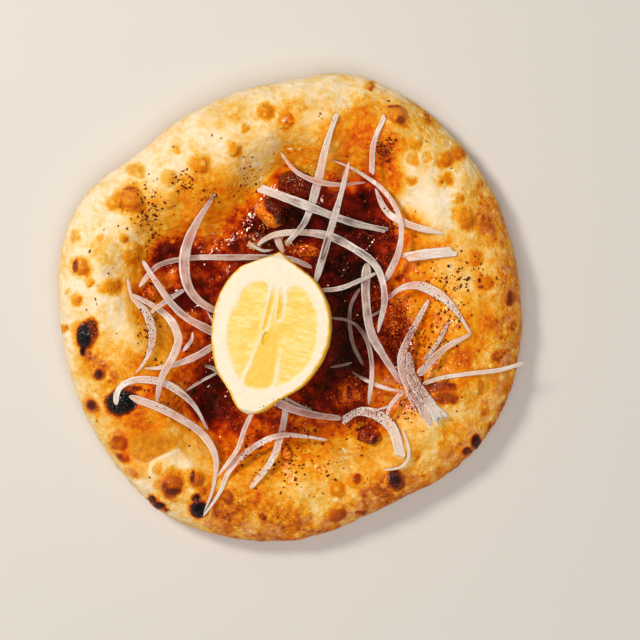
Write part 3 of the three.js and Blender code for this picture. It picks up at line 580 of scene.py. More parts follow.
def paint(red, green, blue):
    """A colour as it looks on a screen, 0 to 255, as the linear colour that the shader takes."""
    shares = (red / 255, green / 255, blue / 255)
    return (*(s / 12.92 if s < 10.3 / 255 else ((s + 0.055) / 1.055) ** 2.4 for s in shares), 1)


class Finish:
    """A material with one Principled shader, and short calls that add nodes to it."""

    def __init__(self, name):
        self.material = bpy.data.materials.new(name)
        self.material.use_nodes = True
        self.tree = self.material.node_tree
        self.shader = self.tree.nodes["Principled BSDF"]

    def put(self, socket, value):
        if isinstance(value, bpy.types.NodeSocket):
            self.tree.links.new(value, socket)
        else:
            socket.default_value = value

    def set(self, **values):
        for key, value in values.items():
            self.put(self.shader.inputs[key.replace("_", " ")], value)

    def field(self, name, *limits):
        """A field of the mesh, mapped as span() does where limits are given."""
        node = self.tree.nodes.new("ShaderNodeAttribute")
        node.attribute_name = name
        value = node.outputs["Fac"]
        return self.span(value, *limits) if limits else value

    def grain(self, size, detail=2.0, stretch=(1, 1, 1), kind="Noise", vector=None):
        """A texture with features about this many millimetres in size."""
        place = vector or self.tree.nodes.new("ShaderNodeTexCoord").outputs["Object"]
        spread = self.tree.nodes.new("ShaderNodeMapping")
        self.tree.links.new(place, spread.inputs["Vector"])
        spread.inputs["Scale"].default_value = [1000 / size * s for s in stretch]
        texture = self.tree.nodes.new("ShaderNodeTex" + kind)
        self.tree.links.new(spread.outputs["Vector"], texture.inputs["Vector"])
        texture.inputs["Scale"].default_value = 1
        if kind == "Noise":
            texture.inputs["Detail"].default_value = detail
            return texture.outputs["Fac"]
        return texture.outputs["Distance"]

    def math(self, operation, a, b):
        node = self.tree.nodes.new("ShaderNodeMath")
        node.operation = operation
        for socket, value in zip(node.inputs, (a, b)):
            self.put(socket, value)
        return node.outputs[0]

    def times(self, a, b):
        return self.math("MULTIPLY", a, b)

    def add(self, a, b):
        return self.math("ADD", a, b)

    def span(self, value, low, high, to_low=0.0, to_high=1.0):
        node = self.tree.nodes.new("ShaderNodeMapRange")
        for socket, setting in zip(node.inputs, (value, low, high, to_low, to_high)):
            self.put(socket, setting)
        return node.outputs[0]

    def blend(self, share, a, b, kind="MIX"):
        node = self.tree.nodes.new("ShaderNodeMix")
        node.data_type = "RGBA"
        node.blend_type = kind
        for index, value in ((0, share), (6, a), (7, b)):
            self.put(node.inputs[index], value)
        return node.outputs[2]

    def ramp(self, value, stops):
        node = self.tree.nodes.new("ShaderNodeValToRGB")
        self.put(node.inputs["Fac"], value)
        elements = node.color_ramp.elements
        while len(elements) < len(stops):
            elements.new(0.5)
        for element, (place, *color) in zip(elements, stops):
            element.position = place
            element.color = paint(*color)
        return node.outputs["Color"]

    def bump(self, height, depth, under=None):
        node = self.tree.nodes.new("ShaderNodeBump")
        node.inputs["Distance"].default_value = depth / 1000
        self.put(node.inputs["Height"], height)
        if under:
            self.put(node.inputs["Normal"], under)
        return node.outputs["Normal"]


def oiled(look, color, level):
    """A colour under oil and sauce of this level."""
    stain = look.ramp(level, [
        (0.0, 255, 255, 255),
        (0.13, 253, 224, 146),
        (0.26, 248, 190, 48),
        (0.38, 242, 148, 4),
        (0.5, 226, 100, 2),
        (0.62, 172, 46, 5),
        (0.74, 112, 16, 4),
        (1.0, 24, 3, 2),
    ])
    return look.blend(1.0, color, stain, "MULTIPLY")


def specked(look, color):
    """The colour under specks of the finest sumac, where there is dust."""
    level = look.add(look.grain(0.6, 1), look.field("dust", 0, 1, -0.06, 0.13))
    return look.blend(look.span(level, 0.68, 0.72, 0, 0.85), color, paint(112, 36, 18))


def crust_finish():
    look = Finish("crust")
    fine = look.grain(0.9, 3)
    coarse = look.grain(2.8, 2)
    broad = look.grain(6, 2)
    bubble = look.span(look.grain(3.2, kind="Voronoi"), 0.14, 0.42, 1, 0)
    bead = look.span(look.grain(1.9, kind="Voronoi"), 0, 0.5, 1, 0)
    beaded = look.times(bead, look.field("tone", 0.1, 0.35, 0.2, 1))
    golden = look.times(bubble, look.field("tone", 0.08, 0.3, 0.03, 0.09))
    mottle = look.add(look.span(fine, 0.36, 0.64, -0.015, 0.015), look.span(coarse, 0.36, 0.64, -0.04, 0.04))
    mottle = look.add(mottle, look.span(broad, 0.38, 0.62, -0.05, 0.05))
    # Bead tops are paler: partly drier dough, partly a painted highlight.
    pale = look.times(look.span(bead, 0.2, 0.9, 0.03, -0.12), look.field("tone", 0.12, 0.3))
    mottle = look.add(mottle, pale)
    mottle = look.times(look.add(golden, mottle), look.field("taut", 0, 1, 1, 0.25))
    tone = look.add(look.field("tone"), mottle)
    dough = look.ramp(tone, [
        (0.0, 253, 238, 212),
        (0.12, 251, 226, 180),
        (0.26, 245, 197, 98),
        (0.4, 240, 160, 16),
        (0.52, 222, 118, 4),
        (0.63, 178, 76, 4),
        (0.75, 112, 36, 6),
        (0.87, 48, 18, 11),
        (1.0, 14, 11, 12),
    ])
    wet = look.field("soak_and_shade")
    # Bead tops also take less oil, which paints them paler: partly drier dough, partly a painted highlight.
    pimple = look.times(look.span(bead, 0.4, 0.9, 0.05, -0.42), look.span(coarse, 0.42, 0.56, 0.2, 1))
    flecked = look.add(look.span(fine, 0.36, 0.64, -0.04, 0.04), look.span(coarse, 0.36, 0.64, -0.12, 0.12))
    flecked = look.add(flecked, pimple)
    level = look.add(wet, look.times(flecked, wet))
    stained = oiled(look, dough, level)
    kept = look.blend(look.span(tone, 0.62, 0.85), stained, dough)
    standing = look.blend(look.span(coarse, 0.35, 0.65), paint(196, 114, 8), paint(228, 146, 10))
    pooled = look.blend(look.field("pool"), kept, standing)
    speck = look.span(look.grain(0.7, 2), 0.36, 0.64, 0.2, 1)
    floury = look.blend(look.times(look.field("flour"), speck), specked(look, pooled), paint(244, 212, 164))
    gloss = look.math("MAXIMUM", look.span(wet, 0.05, 0.4, 0.1, 1), look.span(tone, 0.25, 0.6, 0, 1))
    gloss = look.times(gloss, look.field("pool", 0, 1, 1, 0.3))
    gloss = look.times(gloss, look.field("outer", 0, 1, 1, 0.1))
    glints = look.times(gloss, look.span(look.grain(1.1, 2), 0.44, 0.56, 0.1, 1))
    crinkled = look.times(look.grain(1.8, 1), look.span(tone, 0.5, 0.68))
    skin = look.bump(fine, 0.12, look.bump(beaded, 0.42, look.bump(coarse, 0.42, look.bump(crinkled, 0.5))))
    look.set(
        Base_Color=floury,
        Roughness=look.span(gloss, 0, 1, 0.55, 0.4),
        Coat_Weight=glints,
        Normal=skin,
        Coat_Normal=skin,
        Coat_Roughness=0.07,
        Specular_IOR_Level=0.12,
    )
    return look.material


def sauce_finish():
    look = Finish("sauce")
    blotch = look.grain(5, 3)
    fine = look.grain(0.9, 3)
    calm = look.field("soak_and_shade", 0.84, 0.97, 1, 0.25)
    blotchy = look.times(calm, look.span(blotch, 0.3, 0.7, 0.16, -0.16))
    level = look.add(look.field("soak_and_shade"), blotchy)
    level = look.add(level, look.span(fine, 0.3, 0.7, 0.03, -0.03))
    rough = look.times(look.grain(1.8, 1), look.field("soak_and_shade", 0.65, 0.95, 1, 0.5))
    tint = oiled(look, paint(252, 236, 206), level)
    look.set(
        Base_Color=specked(look, tint),
        Roughness=look.span(look.grain(3, 2), 0.35, 0.65, 0.02, 0.07),
        Normal=look.bump(fine, 0.04, look.bump(rough, 0.5)),
        Specular_IOR_Level=0.9,
        Specular_Tint=(1, 0.8, 0.64, 1),
    )
    return look.material


def roasted_finish():
    look = Finish("roasted")
    fine = look.grain(0.8, 3)
    level = look.add(look.field("orange"), look.span(look.grain(1.2, 2), 0.36, 0.64, -0.24, 0.24))
    flesh = look.ramp(level, [
        (0.0, 60, 8, 6),
        (0.3, 128, 20, 5),
        (0.55, 200, 62, 6),
        (0.75, 240, 112, 12),
        (1.0, 255, 154, 36),
    ])
    charred = look.blend(look.field("char"), flesh, look.ramp(fine, [
        (0.38, 16, 11, 10),
        (0.55, 60, 24, 14),
        (0.7, 150, 70, 36),
    ]))
    look.set(
        Base_Color=charred,
        Roughness=look.field("char", 0, 1, 0.05, 0.5),
        Normal=look.bump(fine, 0.03, look.bump(look.grain(1.7, 1), 1)),
        Specular_IOR_Level=0.9,
        Specular_Tint=(1, 0.84, 0.7, 1),
    )
    return look.material


def onion_finish():
    look = Finish("onion")
    along = look.tree.nodes.new("ShaderNodeCombineXYZ")
    look.put(along.inputs[0], look.times(look.field("along"), 0.001))
    look.put(along.inputs[1], look.times(look.field("across"), 0.001))
    fibre = look.grain(0.55, 2, (0.08, 1, 1), vector=along.outputs[0])
    band = look.grain(1.5, 1, (0.1, 1, 1), vector=along.outputs[0])
    veil = look.grain(10, 2)
    through = look.times(look.span(band, 0.35, 0.65, 0.3, 1), look.span(veil, 0.38, 0.6, 0.15, 0.66))
    through = look.times(through, look.field("under", 0.5, 0.85, 0.8, 1.35))
    seen = oiled(look, paint(240, 208, 184), look.field("under"))
    white = look.blend(look.span(fibre, 0.35, 0.65), paint(220, 204, 192), paint(252, 245, 238))
    raw = look.blend(through, white, seen)
    pink = look.blend(look.field("pink"), raw, paint(190, 112, 88))
    # Sunken slivers turn dark brown, partly as painted shade.
    flesh = look.blend(look.field("sunk_and_shade"), pink, paint(104, 50, 26))
    # Painted highlight along the sliver's edges.
    edge_highlit = look.blend(look.field("edge"), flesh, paint(252, 244, 238))
    look.set(
        Base_Color=specked(look, edge_highlit),
        Roughness=0.27,
        Subsurface_Weight=0.4,
        Subsurface_Radius=(1.0, 0.7, 0.6),
        Subsurface_Scale=0.0015,
        Normal=look.bump(fibre, 0.2),
    )
    return look.material


def lemon_finish():
    look = Finish("lemon")
    fine = look.grain(0.6, 3)
    streak = look.field("vesicle")
    creamy = look.span(look.grain(3, 3), 0.35, 0.65, 0, 0.6)
    pith = look.blend(creamy, paint(253, 240, 218), paint(251, 232, 200))
    pulp = look.ramp(streak, [
        (0.0, 250, 210, 92),
        (0.5, 252, 220, 124),
        (1.0, 254, 234, 164),
    ])
    deep = look.blend(look.field("deep"), pulp, paint(248, 196, 34))
    face = look.blend(look.field("pulp"), pith, deep)
    zest = look.blend(look.span(fine, 0.35, 0.65, 0, 0.4), paint(247, 200, 62), paint(238, 170, 30))
    look.set(
        Base_Color=look.blend(look.field("rind"), face, zest),
        Roughness=look.field("pulp", 0, 1, 0.5, 0.4),
        Subsurface_Weight=0.25,
        Subsurface_Radius=(1.0, 0.8, 0.4),
        Subsurface_Scale=0.002,
        Normal=look.bump(fine, 0.08),
    )
    return look.material


def pepper_finish():
    look = Finish("pepper")
    look.set(
        Base_Color=look.blend(look.field("red"), paint(88, 30, 16), paint(150, 48, 20)),
        Roughness=0.6,
        Normal=look.bump(look.grain(0.25, 2), 0.05),
        Specular_IOR_Level=0.15,
    )
    return look.material


def bits_finish():
    look = Finish("bits")
    # The palest gold at the top of this ramp partly paints glints of light on oily bits.
    base = look.ramp(look.field("orange"), [
        (0.0, 92, 12, 6),
        (0.4, 190, 56, 12),
        (0.7, 238, 130, 24),
        (1.0, 252, 206, 130),
    ])
    look.set(
        Base_Color=look.blend(look.span(look.grain(0.8, 2), 0.5, 0.75), base, paint(96, 20, 8)),
        Roughness=0.14,
        Normal=look.bump(look.grain(0.4, 2), 0.06),
        Specular_IOR_Level=0.45,
        Specular_Tint=(1, 0.72, 0.48, 1),
    )
    return look.material


def wrapped_window(row, column, rows, columns, reach_rows, reach_columns):
    """The rows and columns near a place of a grid that closes on itself sideways."""
    near_rows = np.arange(max(0, row - reach_rows), min(rows, row + reach_rows + 1))
    near_columns = (column + np.arange(-reach_columns, reach_columns + 1)) % columns
    return np.ix_(near_rows, near_columns)


def bubbles(grid, first_row, last_row):
    """Small domes at random places between two rows: how far each point of the grid is raised."""
    rows, columns = grid.shape[:2]
    raised = np.zeros((rows, columns))
    draw = random.Random(BUBBLE_SEED)
    for _ in range(BUBBLES):
        row = draw.randrange(first_row, last_row)
        column = draw.randrange(columns)
        radius = mix(*BUBBLE_RADII, draw.random() ** 2)
        window = wrapped_window(row, column, rows, columns, int(radius * 2.2) + 2, int(radius * 2.4) + 2)
        share = ((grid[window] - grid[row, column]) ** 2).sum(-1) / radius**2
        dome = np.clip(1 - share, 0, 1) ** 1.2
        height = BUBBLE_HEIGHT * radius * mix(0.5, 1, draw.random())
        raised[window] = np.maximum(raised[window], height * dome)
    return raised


def creases(along, across, number):
    """How deep each place is in one of a blister's curved wrinkles, in units of its radius."""
    least = np.full_like(along, 9.0)
    for k in range(3):
        bend = 0.6 * math.sin(2.1 * number + 1.7 * k)
        middle = -0.5 + 0.42 * k + 0.12 * math.sin(3.3 * number + k)
        least = np.minimum(least, np.abs(across - middle - bend * along**2))
    return np.exp(-((least / 0.09) ** 2)) * smooth(np.hypot(along, across), 0.98, 0.6)


def blister_frame(x, y, row, number):
    """Places along and across a blister, and their distance from its uneven outline's middle, in radii."""
    heading = 2.4 * number
    along = ((x - row[0]) * math.cos(heading) + (y - row[1]) * math.sin(heading)) / row[2]
    across = ((y - row[1]) * math.cos(heading) - (x - row[0]) * math.sin(heading)) / row[2]
    turn = np.arctan2(across, along)
    lobes = 1 + 0.08 * np.sin(2 * turn + number) + 0.05 * np.sin(3 * turn + 1.7 * number)
    return along, across, np.hypot(along, across) * lobes


def browning_and_shade(x, y, z, place):
    """How brown the crust is, from 0, pale dough, to 1, black, with painted shade and painted light in some
    patches and on the blisters' sides; also its creases and its taut blisters.
    """
    mottle = smooth(cloud(place, 9, 11), -0.6, 0.9)
    tone = 0.1 + 0.05 * cloud(place, 13, 14, 2) + 0.06 * mottle
    tone = np.clip(tone + patches(x, y, BROWNINGS_AND_SHADE) * mix(0.75, 1.35, mottle), 0.02, 0.54)
    creased = np.zeros_like(x)
    taut = np.zeros_like(x)
    ragged = 0.24 * noise(place, 2.6, 21) + 0.14 * noise(place, 1.2, 22)
    warped_x = x + 1.2 * noise(place, 7, 24) + 0.7 * noise(place, 2.8, 28)
    warped_y = y + 1.2 * noise(place, 7, 25) + 0.7 * noise(place, 2.8, 29)
    for number, row in enumerate(BLISTERS + LOW_BLISTERS):
        radius = row[2]
        brown = row[4] - 0.06 * smooth(0.62 - row[4], 0, 0.06)
        near = np.flatnonzero(np.hypot(warped_x - row[0], warped_y - row[1]) < 2.4 * radius)
        along, across, away = blister_frame(warped_x[near], warped_y[near], row, number)
        away = away - 0.26 * ragged[near]
        grain = np.stack([along * radius / 2, across * radius, np.full_like(along, 7.0 * number)], -1)
        rim = [brown - 0.03, brown, brown, brown - 0.07]
        rim += [min(brown - 0.19, 0.42), min(brown - 0.3, 0.28), 0.04]
        spot = np.interp(away, [0, 0.4, 0.75, 0.95, 1.15, 1.4, 1.8], rim)
        # Painted shade and light: each blister is browner on its lower right side, away from the window, and
        # paler on its upper left.
        toward_lower_right_shade = (x[near] - row[0] - y[near] + row[1]) / radius
        spot += 0.04 * np.clip(toward_lower_right_shade, -1.2, 1.2) * smooth(1.3 - away, 0, 0.5)
        spot += 0.05 * noise(grain, 2.2, 23) * smooth(1.3 - away, 0, 0.3)
        taut[near] = np.maximum(taut[near], smooth(1.1 - away, 0, 0.3) * (radius > 3.3))
        tone[near] = np.maximum(tone[near], spot)
        if number in CREASED:
            folds = creases(along, across, number)
            tone[near] += 0.07 * folds * smooth(tone[near], 0.3, 0.45)
            creased[near] = np.maximum(creased[near], folds)
    for sx, sy, half_x, half_y, dark in SCORCHES_AND_SHADE:
        away = np.sqrt(((x - sx) / half_x) ** 2 + ((y - sy) / half_y) ** 2)
        uneven = mix(0.5, 0.2, smooth(dark, 0.9, 1)) * ragged
        tone = np.maximum(tone, mix(tone, dark, smooth(1.4 - away + uneven, 0, 0.8)))
    lower = smooth(z, 9, 2)
    return mix(tone, 0.4 + 0.12 * cloud(place, 6, 27), lower), creased, taut


def bread_grid():
    """Rings from the hollow's middle to the underside's, and how many reach the widest line."""
    angle = np.arange(BREAD_COLUMNS) * math.tau / BREAD_COLUMNS
    rings = [floor_point(angle, 0.1 + 0.9 * i / FLOOR_ROWS) for i in range(FLOOR_ROWS + 1)]
    rings += [slope_point(angle, i / SLOPE_ROWS) for i in range(1, SLOPE_ROWS + 1)]
    rings += [side_point(angle, i / SIDE_ROWS) for i in range(1, SIDE_ROWS + 1)]
    widest_row = len(rings)
    rings += [under_point(angle, i / LOWER_ROWS) for i in range(1, LOWER_ROWS + 1)]
    base = rings[-1]
    rings += [base * (1 - i / (BASE_ROWS + 1)) for i in range(1, BASE_ROWS + 1)]
    return np.array(rings), widest_row


def make_bread():
    grid, widest_row = bread_grid()
    place = grid.reshape(-1, 3)
    x, y, z = place.T
    angles = np.arctan2(y, x)
    outward = np.hypot(x, y) - around(SAUCE_EDGE, angles)
    tone, creased, taut = browning_and_shade(x, y, z, place)
    edge = np.hypot(x, y) / around(OUTLINE, angles)
    # Painted shade: the rim's outer side towards the lower right, away from the window, is painted browner.
    painted_shade_side = smooth(np.cos(angles + 0.7), -0.1, 0.8)
    tone = np.maximum(tone, np.minimum(tone + 0.16 * painted_shade_side * smooth(edge, 0.84, 0.97), 0.46))
    # The outermost edge on the lower right is darker brown: partly a browner crust, partly painted shade, as
    # that side turns away from the window.
    baked_and_shaded_edge = smooth(np.cos(angles + 0.9), 0.3, 0.9) * smooth(edge + 0.03 * noise(place, 7, 58), 0.95, 1)
    tone = mix(tone, np.maximum(tone, 0.52 + 0.08 * noise(place, 5, 59)), baked_and_shaded_edge)

    points = place[:, :2]
    shore = loop_distance(points, POOL) + 0.9 * noise(place, 5, 33)
    pool = smooth(-shore, -0.6, mix(0.8, 9, smooth(y, -75, -62))) * smooth(z, 12, 15)
    fold = np.min([segment_distance(points, *ends) for ends in zip(FOLD, FOLD[1:])], axis=0)
    ridge = np.exp(-((fold / 0.9) ** 2)) * smooth(z, 12, 15)
    above = smooth(z, 1.5, 7)
    lumps = 0.3 * noise(place, 9, 41) + 0.34 * noise(place, 4.6, 42) + 0.2 * noise(place, 2.2, 43)
    lumps = lumps * (1 - 0.6 * taut)
    wrinkles = -0.2 * np.abs(noise(place, 2.4, 45)) * smooth(tone, 0.6, 0.75) - 0.34 * creased
    raised = bubbles(grid, FLOOR_ROWS + 2, widest_row).reshape(-1)
    pits = -0.4 * smooth(0.34 - grains(place, 2.6, 47), 0, 0.2) * smooth(tone, 0.78, 0.95)
    relief = (lumps + wrinkles + raised + pits + 0.05 * noise(place, 0.9, 49)) * above * (1 - 0.85 * pool)
    relief += 0.5 * ridge
    for bx, by, radius, height, _ in LOW_BLISTERS:
        away = np.hypot(x - bx, y - by) / radius + 0.16 * noise(place, 3.4, 56)
        relief += height * np.clip(1 - away**2, 0, 1) ** 1.3 * above
        rim = 0.26 * np.exp(-(((away - 1.15) / 0.26) ** 2)) * (height < 0)
        relief += rim
        tone = tone - 0.35 * rim
    uneven = 0.06 * noise(place, 3, 57)
    for number, row in enumerate(BLISTERS):
        away = blister_frame(x, y, row, number)[2] + uneven
        height = row[3]
        dome = np.sqrt(np.clip(1 - (away / 0.98) ** 2, 0, 1))
        ditch = np.exp(-(((away - 1.06) / 0.12) ** 2))
        relief += (0.25 + 0.2 * max(height, 0)) * (dome - 0.3 * ditch) * above
    relief *= smooth(outward, -3, 3)
    shaped = place + grid_normals(grid).reshape(-1, 3) * relief[:, None]
    shaped[:, 2] = mix(np.maximum(shaped[:, 2], 0), POOL_Z, 0.6 * pool)

    # Bubble tops are painted paler: partly drier dough, partly a painted highlight.
    tone = tone - 0.45 * raised * smooth(tone, 0.2, 0.4) * smooth(0.62 - tone, 0, 0.1) - 0.3 * ridge
    toward_flour = 0.3 + 0.7 * smooth(np.cos(angles + 1.1), -0.4, 0.7)
    flour = smooth(edge, 0.84, 0.98) * toward_flour * smooth(noise(place, 3.2, 55), -0.7, 0.7)
    flour = np.maximum(0.45 * (1 - baked_and_shaded_edge) * flour * smooth(0.56 - tone, 0, 0.1), 0.7 * smooth(z, 1.2, 0))
    # The ridge and the bubble tops take less oil: partly drier dough, partly a painted highlight on the
    # bubbles.
    dried_and_highlit = (1 - 0.8 * ridge) * (1 - 0.35 * smooth(raised, 0.1, 0.35))
    soak_and_shade = soaking_and_shade(x, y, place) * smooth(z, 4, 9) * dried_and_highlit
    tone = mix(tone, np.minimum(tone, 0.08), smooth(soak_and_shade, 0.14, 0.4) * smooth(0.62 - tone, 0, 0.1))
    fields = {
        "tone": tone,
        "soak_and_shade": soak_and_shade,
        "pool": pool,
        "flour": flour,
        "dust": dusted(x, y),
        "taut": taut,
        "outer": smooth(edge, 0.9, 0.97),
    }
    points, faces = closed_rings(shaped.reshape(grid.shape))
    fields = {key: np.append(values, [values[0], values[-1]]) for key, values in fields.items()}
    return build("bread_crust", points, faces, crust_finish(), ["bread"], fields)


def lemon_half_width(place):
    """The fruit's half width along its length, rounded between the measured places."""
    along = np.linspace(-44, 44, 1761)
    stations, widths = np.array(LEMON_PROFILE).T
    measured = np.interp(along, stations, widths, left=0, right=0)
    reach = np.linspace(-3, 3, 121)
    kernel = np.exp(-(reach**2))
    rounded = np.convolve(measured, kernel / kernel.sum(), "same")
    return np.interp(place, along, np.where(measured > 0, rounded, 0))


def lemon_bow(place):
    return -LEMON_BOW * (place / LEMON_HALF_LENGTH) ** 2


def lemon_underside(x, y):
    turn = math.radians(LEMON_TURN)
    dx = x - LEMON_X
    dy = y - LEMON_Y
    place = dx * math.sin(turn) + dy * math.cos(turn)
    across = dx * math.cos(turn) - dy * math.sin(turn) - lemon_bow(place)
    depth = lemon_half_width(place) ** 2 - across**2
    return np.where(depth > 0, LEMON_BOTTOM_Z + LEMON_RADIUS - np.sqrt(np.clip(depth, 0, None)), np.inf)


def sauce_ground(angle, share):
    """The bread under the sauce, also a little way up the slope, where the share passes 1."""
    edge = around(SAUCE_EDGE, angle)
    flat = floor_point(angle, np.minimum(share, 1))
    if share <= 1:
        return flat
    return slope_point(angle, edge * (share - 1) / (crest_radius(angle) - edge))


def make_sauce():
    angle = np.arange(SAUCE_COLUMNS) * math.tau / SAUCE_COLUMNS
    shares = np.linspace(0.012, SAUCE_REACH, SAUCE_ROWS)
    ground = np.array([sauce_ground(angle, share) for share in shares])
    place = ground.reshape(-1, 3)
    x, y, z = place.T
    share = np.repeat(shares, SAUCE_COLUMNS)
    waves = np.sin(0.42 * x + 1) * np.sin(0.39 * y) + np.sin(0.27 * (x + y))
    level = np.maximum(SAUCE_Z, z + SAUCE_GAP + SAUCE_EDGE_THICKNESS)
    level = level + LUMP_HEIGHT * waves * smooth(1 - share, 0, 0.15)
    soak_and_shade = soaking_and_shade(x, y, place)
    thick = smooth(soak_and_shade, 0.42, 0.62)
    minced = np.clip(patches(x, y, [(*row[:3], 0.9) for row in BITS]), 0, 1)
    chunks = 0.45 * (1 - grains(place, 4.6, 61)) + mix(0.06, 0.8, minced) * (1 - grains(place, 1.9, 62))
    top = level - z + (chunks - 0.3) * mix(0.3, 1, thick) + 0.15 * cloud(place, 5, 64, 2)
    edge = share + 0.03 * cloud(place, 7, 68, 3)
    thickness = mix(top, 0.25, smooth(edge, 0.8, 0.98)) - 0.6 * smooth(edge, 0.98, 1.1)
    height = np.minimum(z + thickness, lemon_underside(x, y) - LEMON_GAP)
    surface = np.stack([x, y, height], -1).reshape(ground.shape)
    underside = ground[::-SAUCE_UNDER_STEP].copy()
    underside[..., 2] -= SAUCE_SINK
    grid = np.concatenate([surface, underside])
    points, faces = closed_rings(grid)
    below = soak_and_shade.reshape(ground.shape[:2])[::-SAUCE_UNDER_STEP].reshape(-1)
    fields = {"soak_and_shade": np.concatenate([soak_and_shade, below, soak_and_shade[:2]])}
    fields["dust"] = 0.6 * dusted(points[:, 0], points[:, 1])
    return build("chilli_sauce", points, faces, sauce_finish(), ["sauce"], fields)


def segment_distance(points, start, end):
    px = points[:, 0] - start[0]
    py = points[:, 1] - start[1]
    dx, dy = end[0] - start[0], end[1] - start[1]
    share = np.clip((px * dx + py * dy) / (dx * dx + dy * dy), 0, 1)
    return np.hypot(px - share * dx, py - share * dy)


def loop_distance(points, corners):
    """The distance to a smooth closed outline through these corners, negative inside it."""
    corners = np.array(corners, float)
    t = np.linspace(0, math.tau, 8 * len(corners), endpoint=False)
    outline = np.stack([around(corners[:, 0], t), around(corners[:, 1], t)], -1)
    after = np.roll(outline, -1, axis=0)
    least = np.full(len(points), np.inf)
    inside = np.zeros(len(points), bool)
    for start, end in zip(outline, after):
        least = np.minimum(least, segment_distance(points, start, end))
        px, py = (points - start).T
        dx, dy = end - start
        crosses = (start[1] > points[:, 1]) != (end[1] > points[:, 1])
        if dy:
            inside ^= crosses & (px < dx * py / dy)
    return np.where(inside, -least, least)


def lemon_face(across, place):
    """Depth and looks of the cut face at places across and along it."""
    points = np.stack([across, place], -1)
    solid = np.stack([across, place, np.zeros_like(place)], -1)
    wobble = 0.35 * noise(solid, 2.2, 71)
    left = loop_distance(points, PULP_LEFT) + wobble
    right = loop_distance(points, PULP_RIGHT) + wobble
    wedge = loop_distance(points, WEDGE) + 0.5 * wobble
    core = 8 * (np.hypot((across - 0.6) / 8, (place + 3) / 27) - 1)
    flesh = np.minimum(np.minimum(left, right), np.minimum(wedge, core))
    pulp = smooth(-flesh, -0.8, 2)
    stretched = solid / np.array([3.4, 1, 1])
    vesicle = 0.5 + 0.4 * noise(stretched, 1.15, 73) + 0.3 * noise(stretched, 0.6, 74)
    inner = 0.3 * noise(solid / np.array([1, 3.2, 1]), 0.8, 75)
    in_wedge = smooth(-wedge, -0.5, 1)
    vesicle = mix(vesicle, 0.4 + inner, in_wedge)
    deep = 0.5 * in_wedge
    depth = PULP_DEPTH * pulp - 0.05 * (vesicle - 0.5) * pulp
    membrane = 0.7 * np.exp(-(((wedge - 1) / 0.8) ** 2)) * smooth(-across, -1, 2)
    for row in SLOTS:
        away = segment_distance(points, row[:2], row[2:4]) - row[4]
        hollow = smooth(-away, -0.3, 0.6)
        depth += 0.3 * hollow
        deep = np.maximum(deep, 0.75 * hollow)
        membrane = np.maximum(membrane, 0.9 * np.exp(-(((away - 0.7) / 0.45) ** 2)))
    pulp = pulp * (1 - 0.8 * membrane)
    sx, sy, half_x, half_y = SEED_HOLE
    seed = smooth(1.1 - np.sqrt(((across - sx) / half_x) ** 2 + ((place - sy) / half_y) ** 2), 0, 0.3)
    depth += 1.4 * seed
    deep = np.maximum(deep, seed)
    for jx, jy, reach in JUICE_SPOTS:
        spot = bell(across, place, jx, jy, reach)
        deep = np.maximum(deep, 0.6 * spot * pulp)
        depth += 0.3 * spot * pulp
    return depth, pulp, deep, np.clip(vesicle, 0, 1)


def make_lemon():
    stations = np.linspace(*LEMON_ENDS, LEMON_STATIONS)
    tilt = math.radians(LEMON_TILT)
    halves = np.maximum(lemon_half_width(stations), 0.2)
    lifts = np.minimum(LEMON_ABOVE_CORE, halves * 0.6)
    edges = np.arcsin(lifts / halves)
    count = LEMON_FACE_STEPS + LEMON_RIND_STEPS
    rows = len(stations)
    across = np.zeros((rows, count))
    up = np.zeros((rows, count))
    face = np.zeros((rows, count), bool)
    face[:, :LEMON_FACE_STEPS] = True
    flat = np.linspace(-1, 1, LEMON_FACE_STEPS)
    across[:, :LEMON_FACE_STEPS] = flat[None, :] * (halves * np.cos(edges))[:, None]
    up[:, :LEMON_FACE_STEPS] = lifts[:, None]
    bend = np.linspace(0, 1, LEMON_RIND_STEPS + 2)[1:-1]
    swing = mix(edges[:, None], -math.pi - edges[:, None], bend[None, :])
    across[:, LEMON_FACE_STEPS:] = halves[:, None] * np.cos(swing)
    up[:, LEMON_FACE_STEPS:] = halves[:, None] * np.sin(swing)
    along = np.repeat(stations[:, None], count, axis=1)

    depth, pulp, deep, vesicle = lemon_face(across[face], along[face])
    solid = np.stack([across, along, up], -1).reshape(-1, 3)
    glands = -0.16 * smooth(0.55 - grains(solid, 1.7, 77), 0, 0.4) + 0.25 * noise(solid, 9, 78)
    skin = glands.reshape(rows, count)
    inset = (halves * np.cos(edges))[:, None] - np.abs(across)
    rim = np.where(face, inset, 0)
    grow = np.where(face, 0, skin) / np.maximum(halves[:, None], 1)
    across = across * (1 + grow)
    up = up * (1 + grow)
    pith = 0.12 * cloud(solid, 2.4, 79, 3).reshape(rows, count) - 0.35 * np.exp(-rim / 0.5)
    up[face] += pith[face] - depth

    tilted = across * math.cos(tilt) - up * math.sin(tilt)
    height = across * math.sin(tilt) + up * math.cos(tilt)
    bowed = tilted + lemon_bow(along)
    turn = math.radians(LEMON_TURN)
    x = LEMON_X + bowed * math.cos(turn) + along * math.sin(turn)
    y = LEMON_Y - bowed * math.sin(turn) + along * math.cos(turn)
    z = LEMON_BOTTOM_Z + LEMON_RADIUS + height
    grid = np.stack([x, y, z], -1)

    fields = {}
    for key, values in (("pulp", pulp), ("deep", deep), ("vesicle", vesicle)):
        whole = np.zeros((rows, count))
        whole[face] = values
        fields[key] = whole
    ragged = 0.5 * noise(solid, 2, 81).reshape(rows, count)
    fields["rind"] = np.where(face, smooth(ZEST_WIDTH + ragged - rim, 0, 0.7), 1)
    points, faces = closed_rings(grid)
    fields = with_ends(fields)
    return build("lemon_flesh_and_rind", points, faces, lemon_finish(), ["lemon_half"], fields)


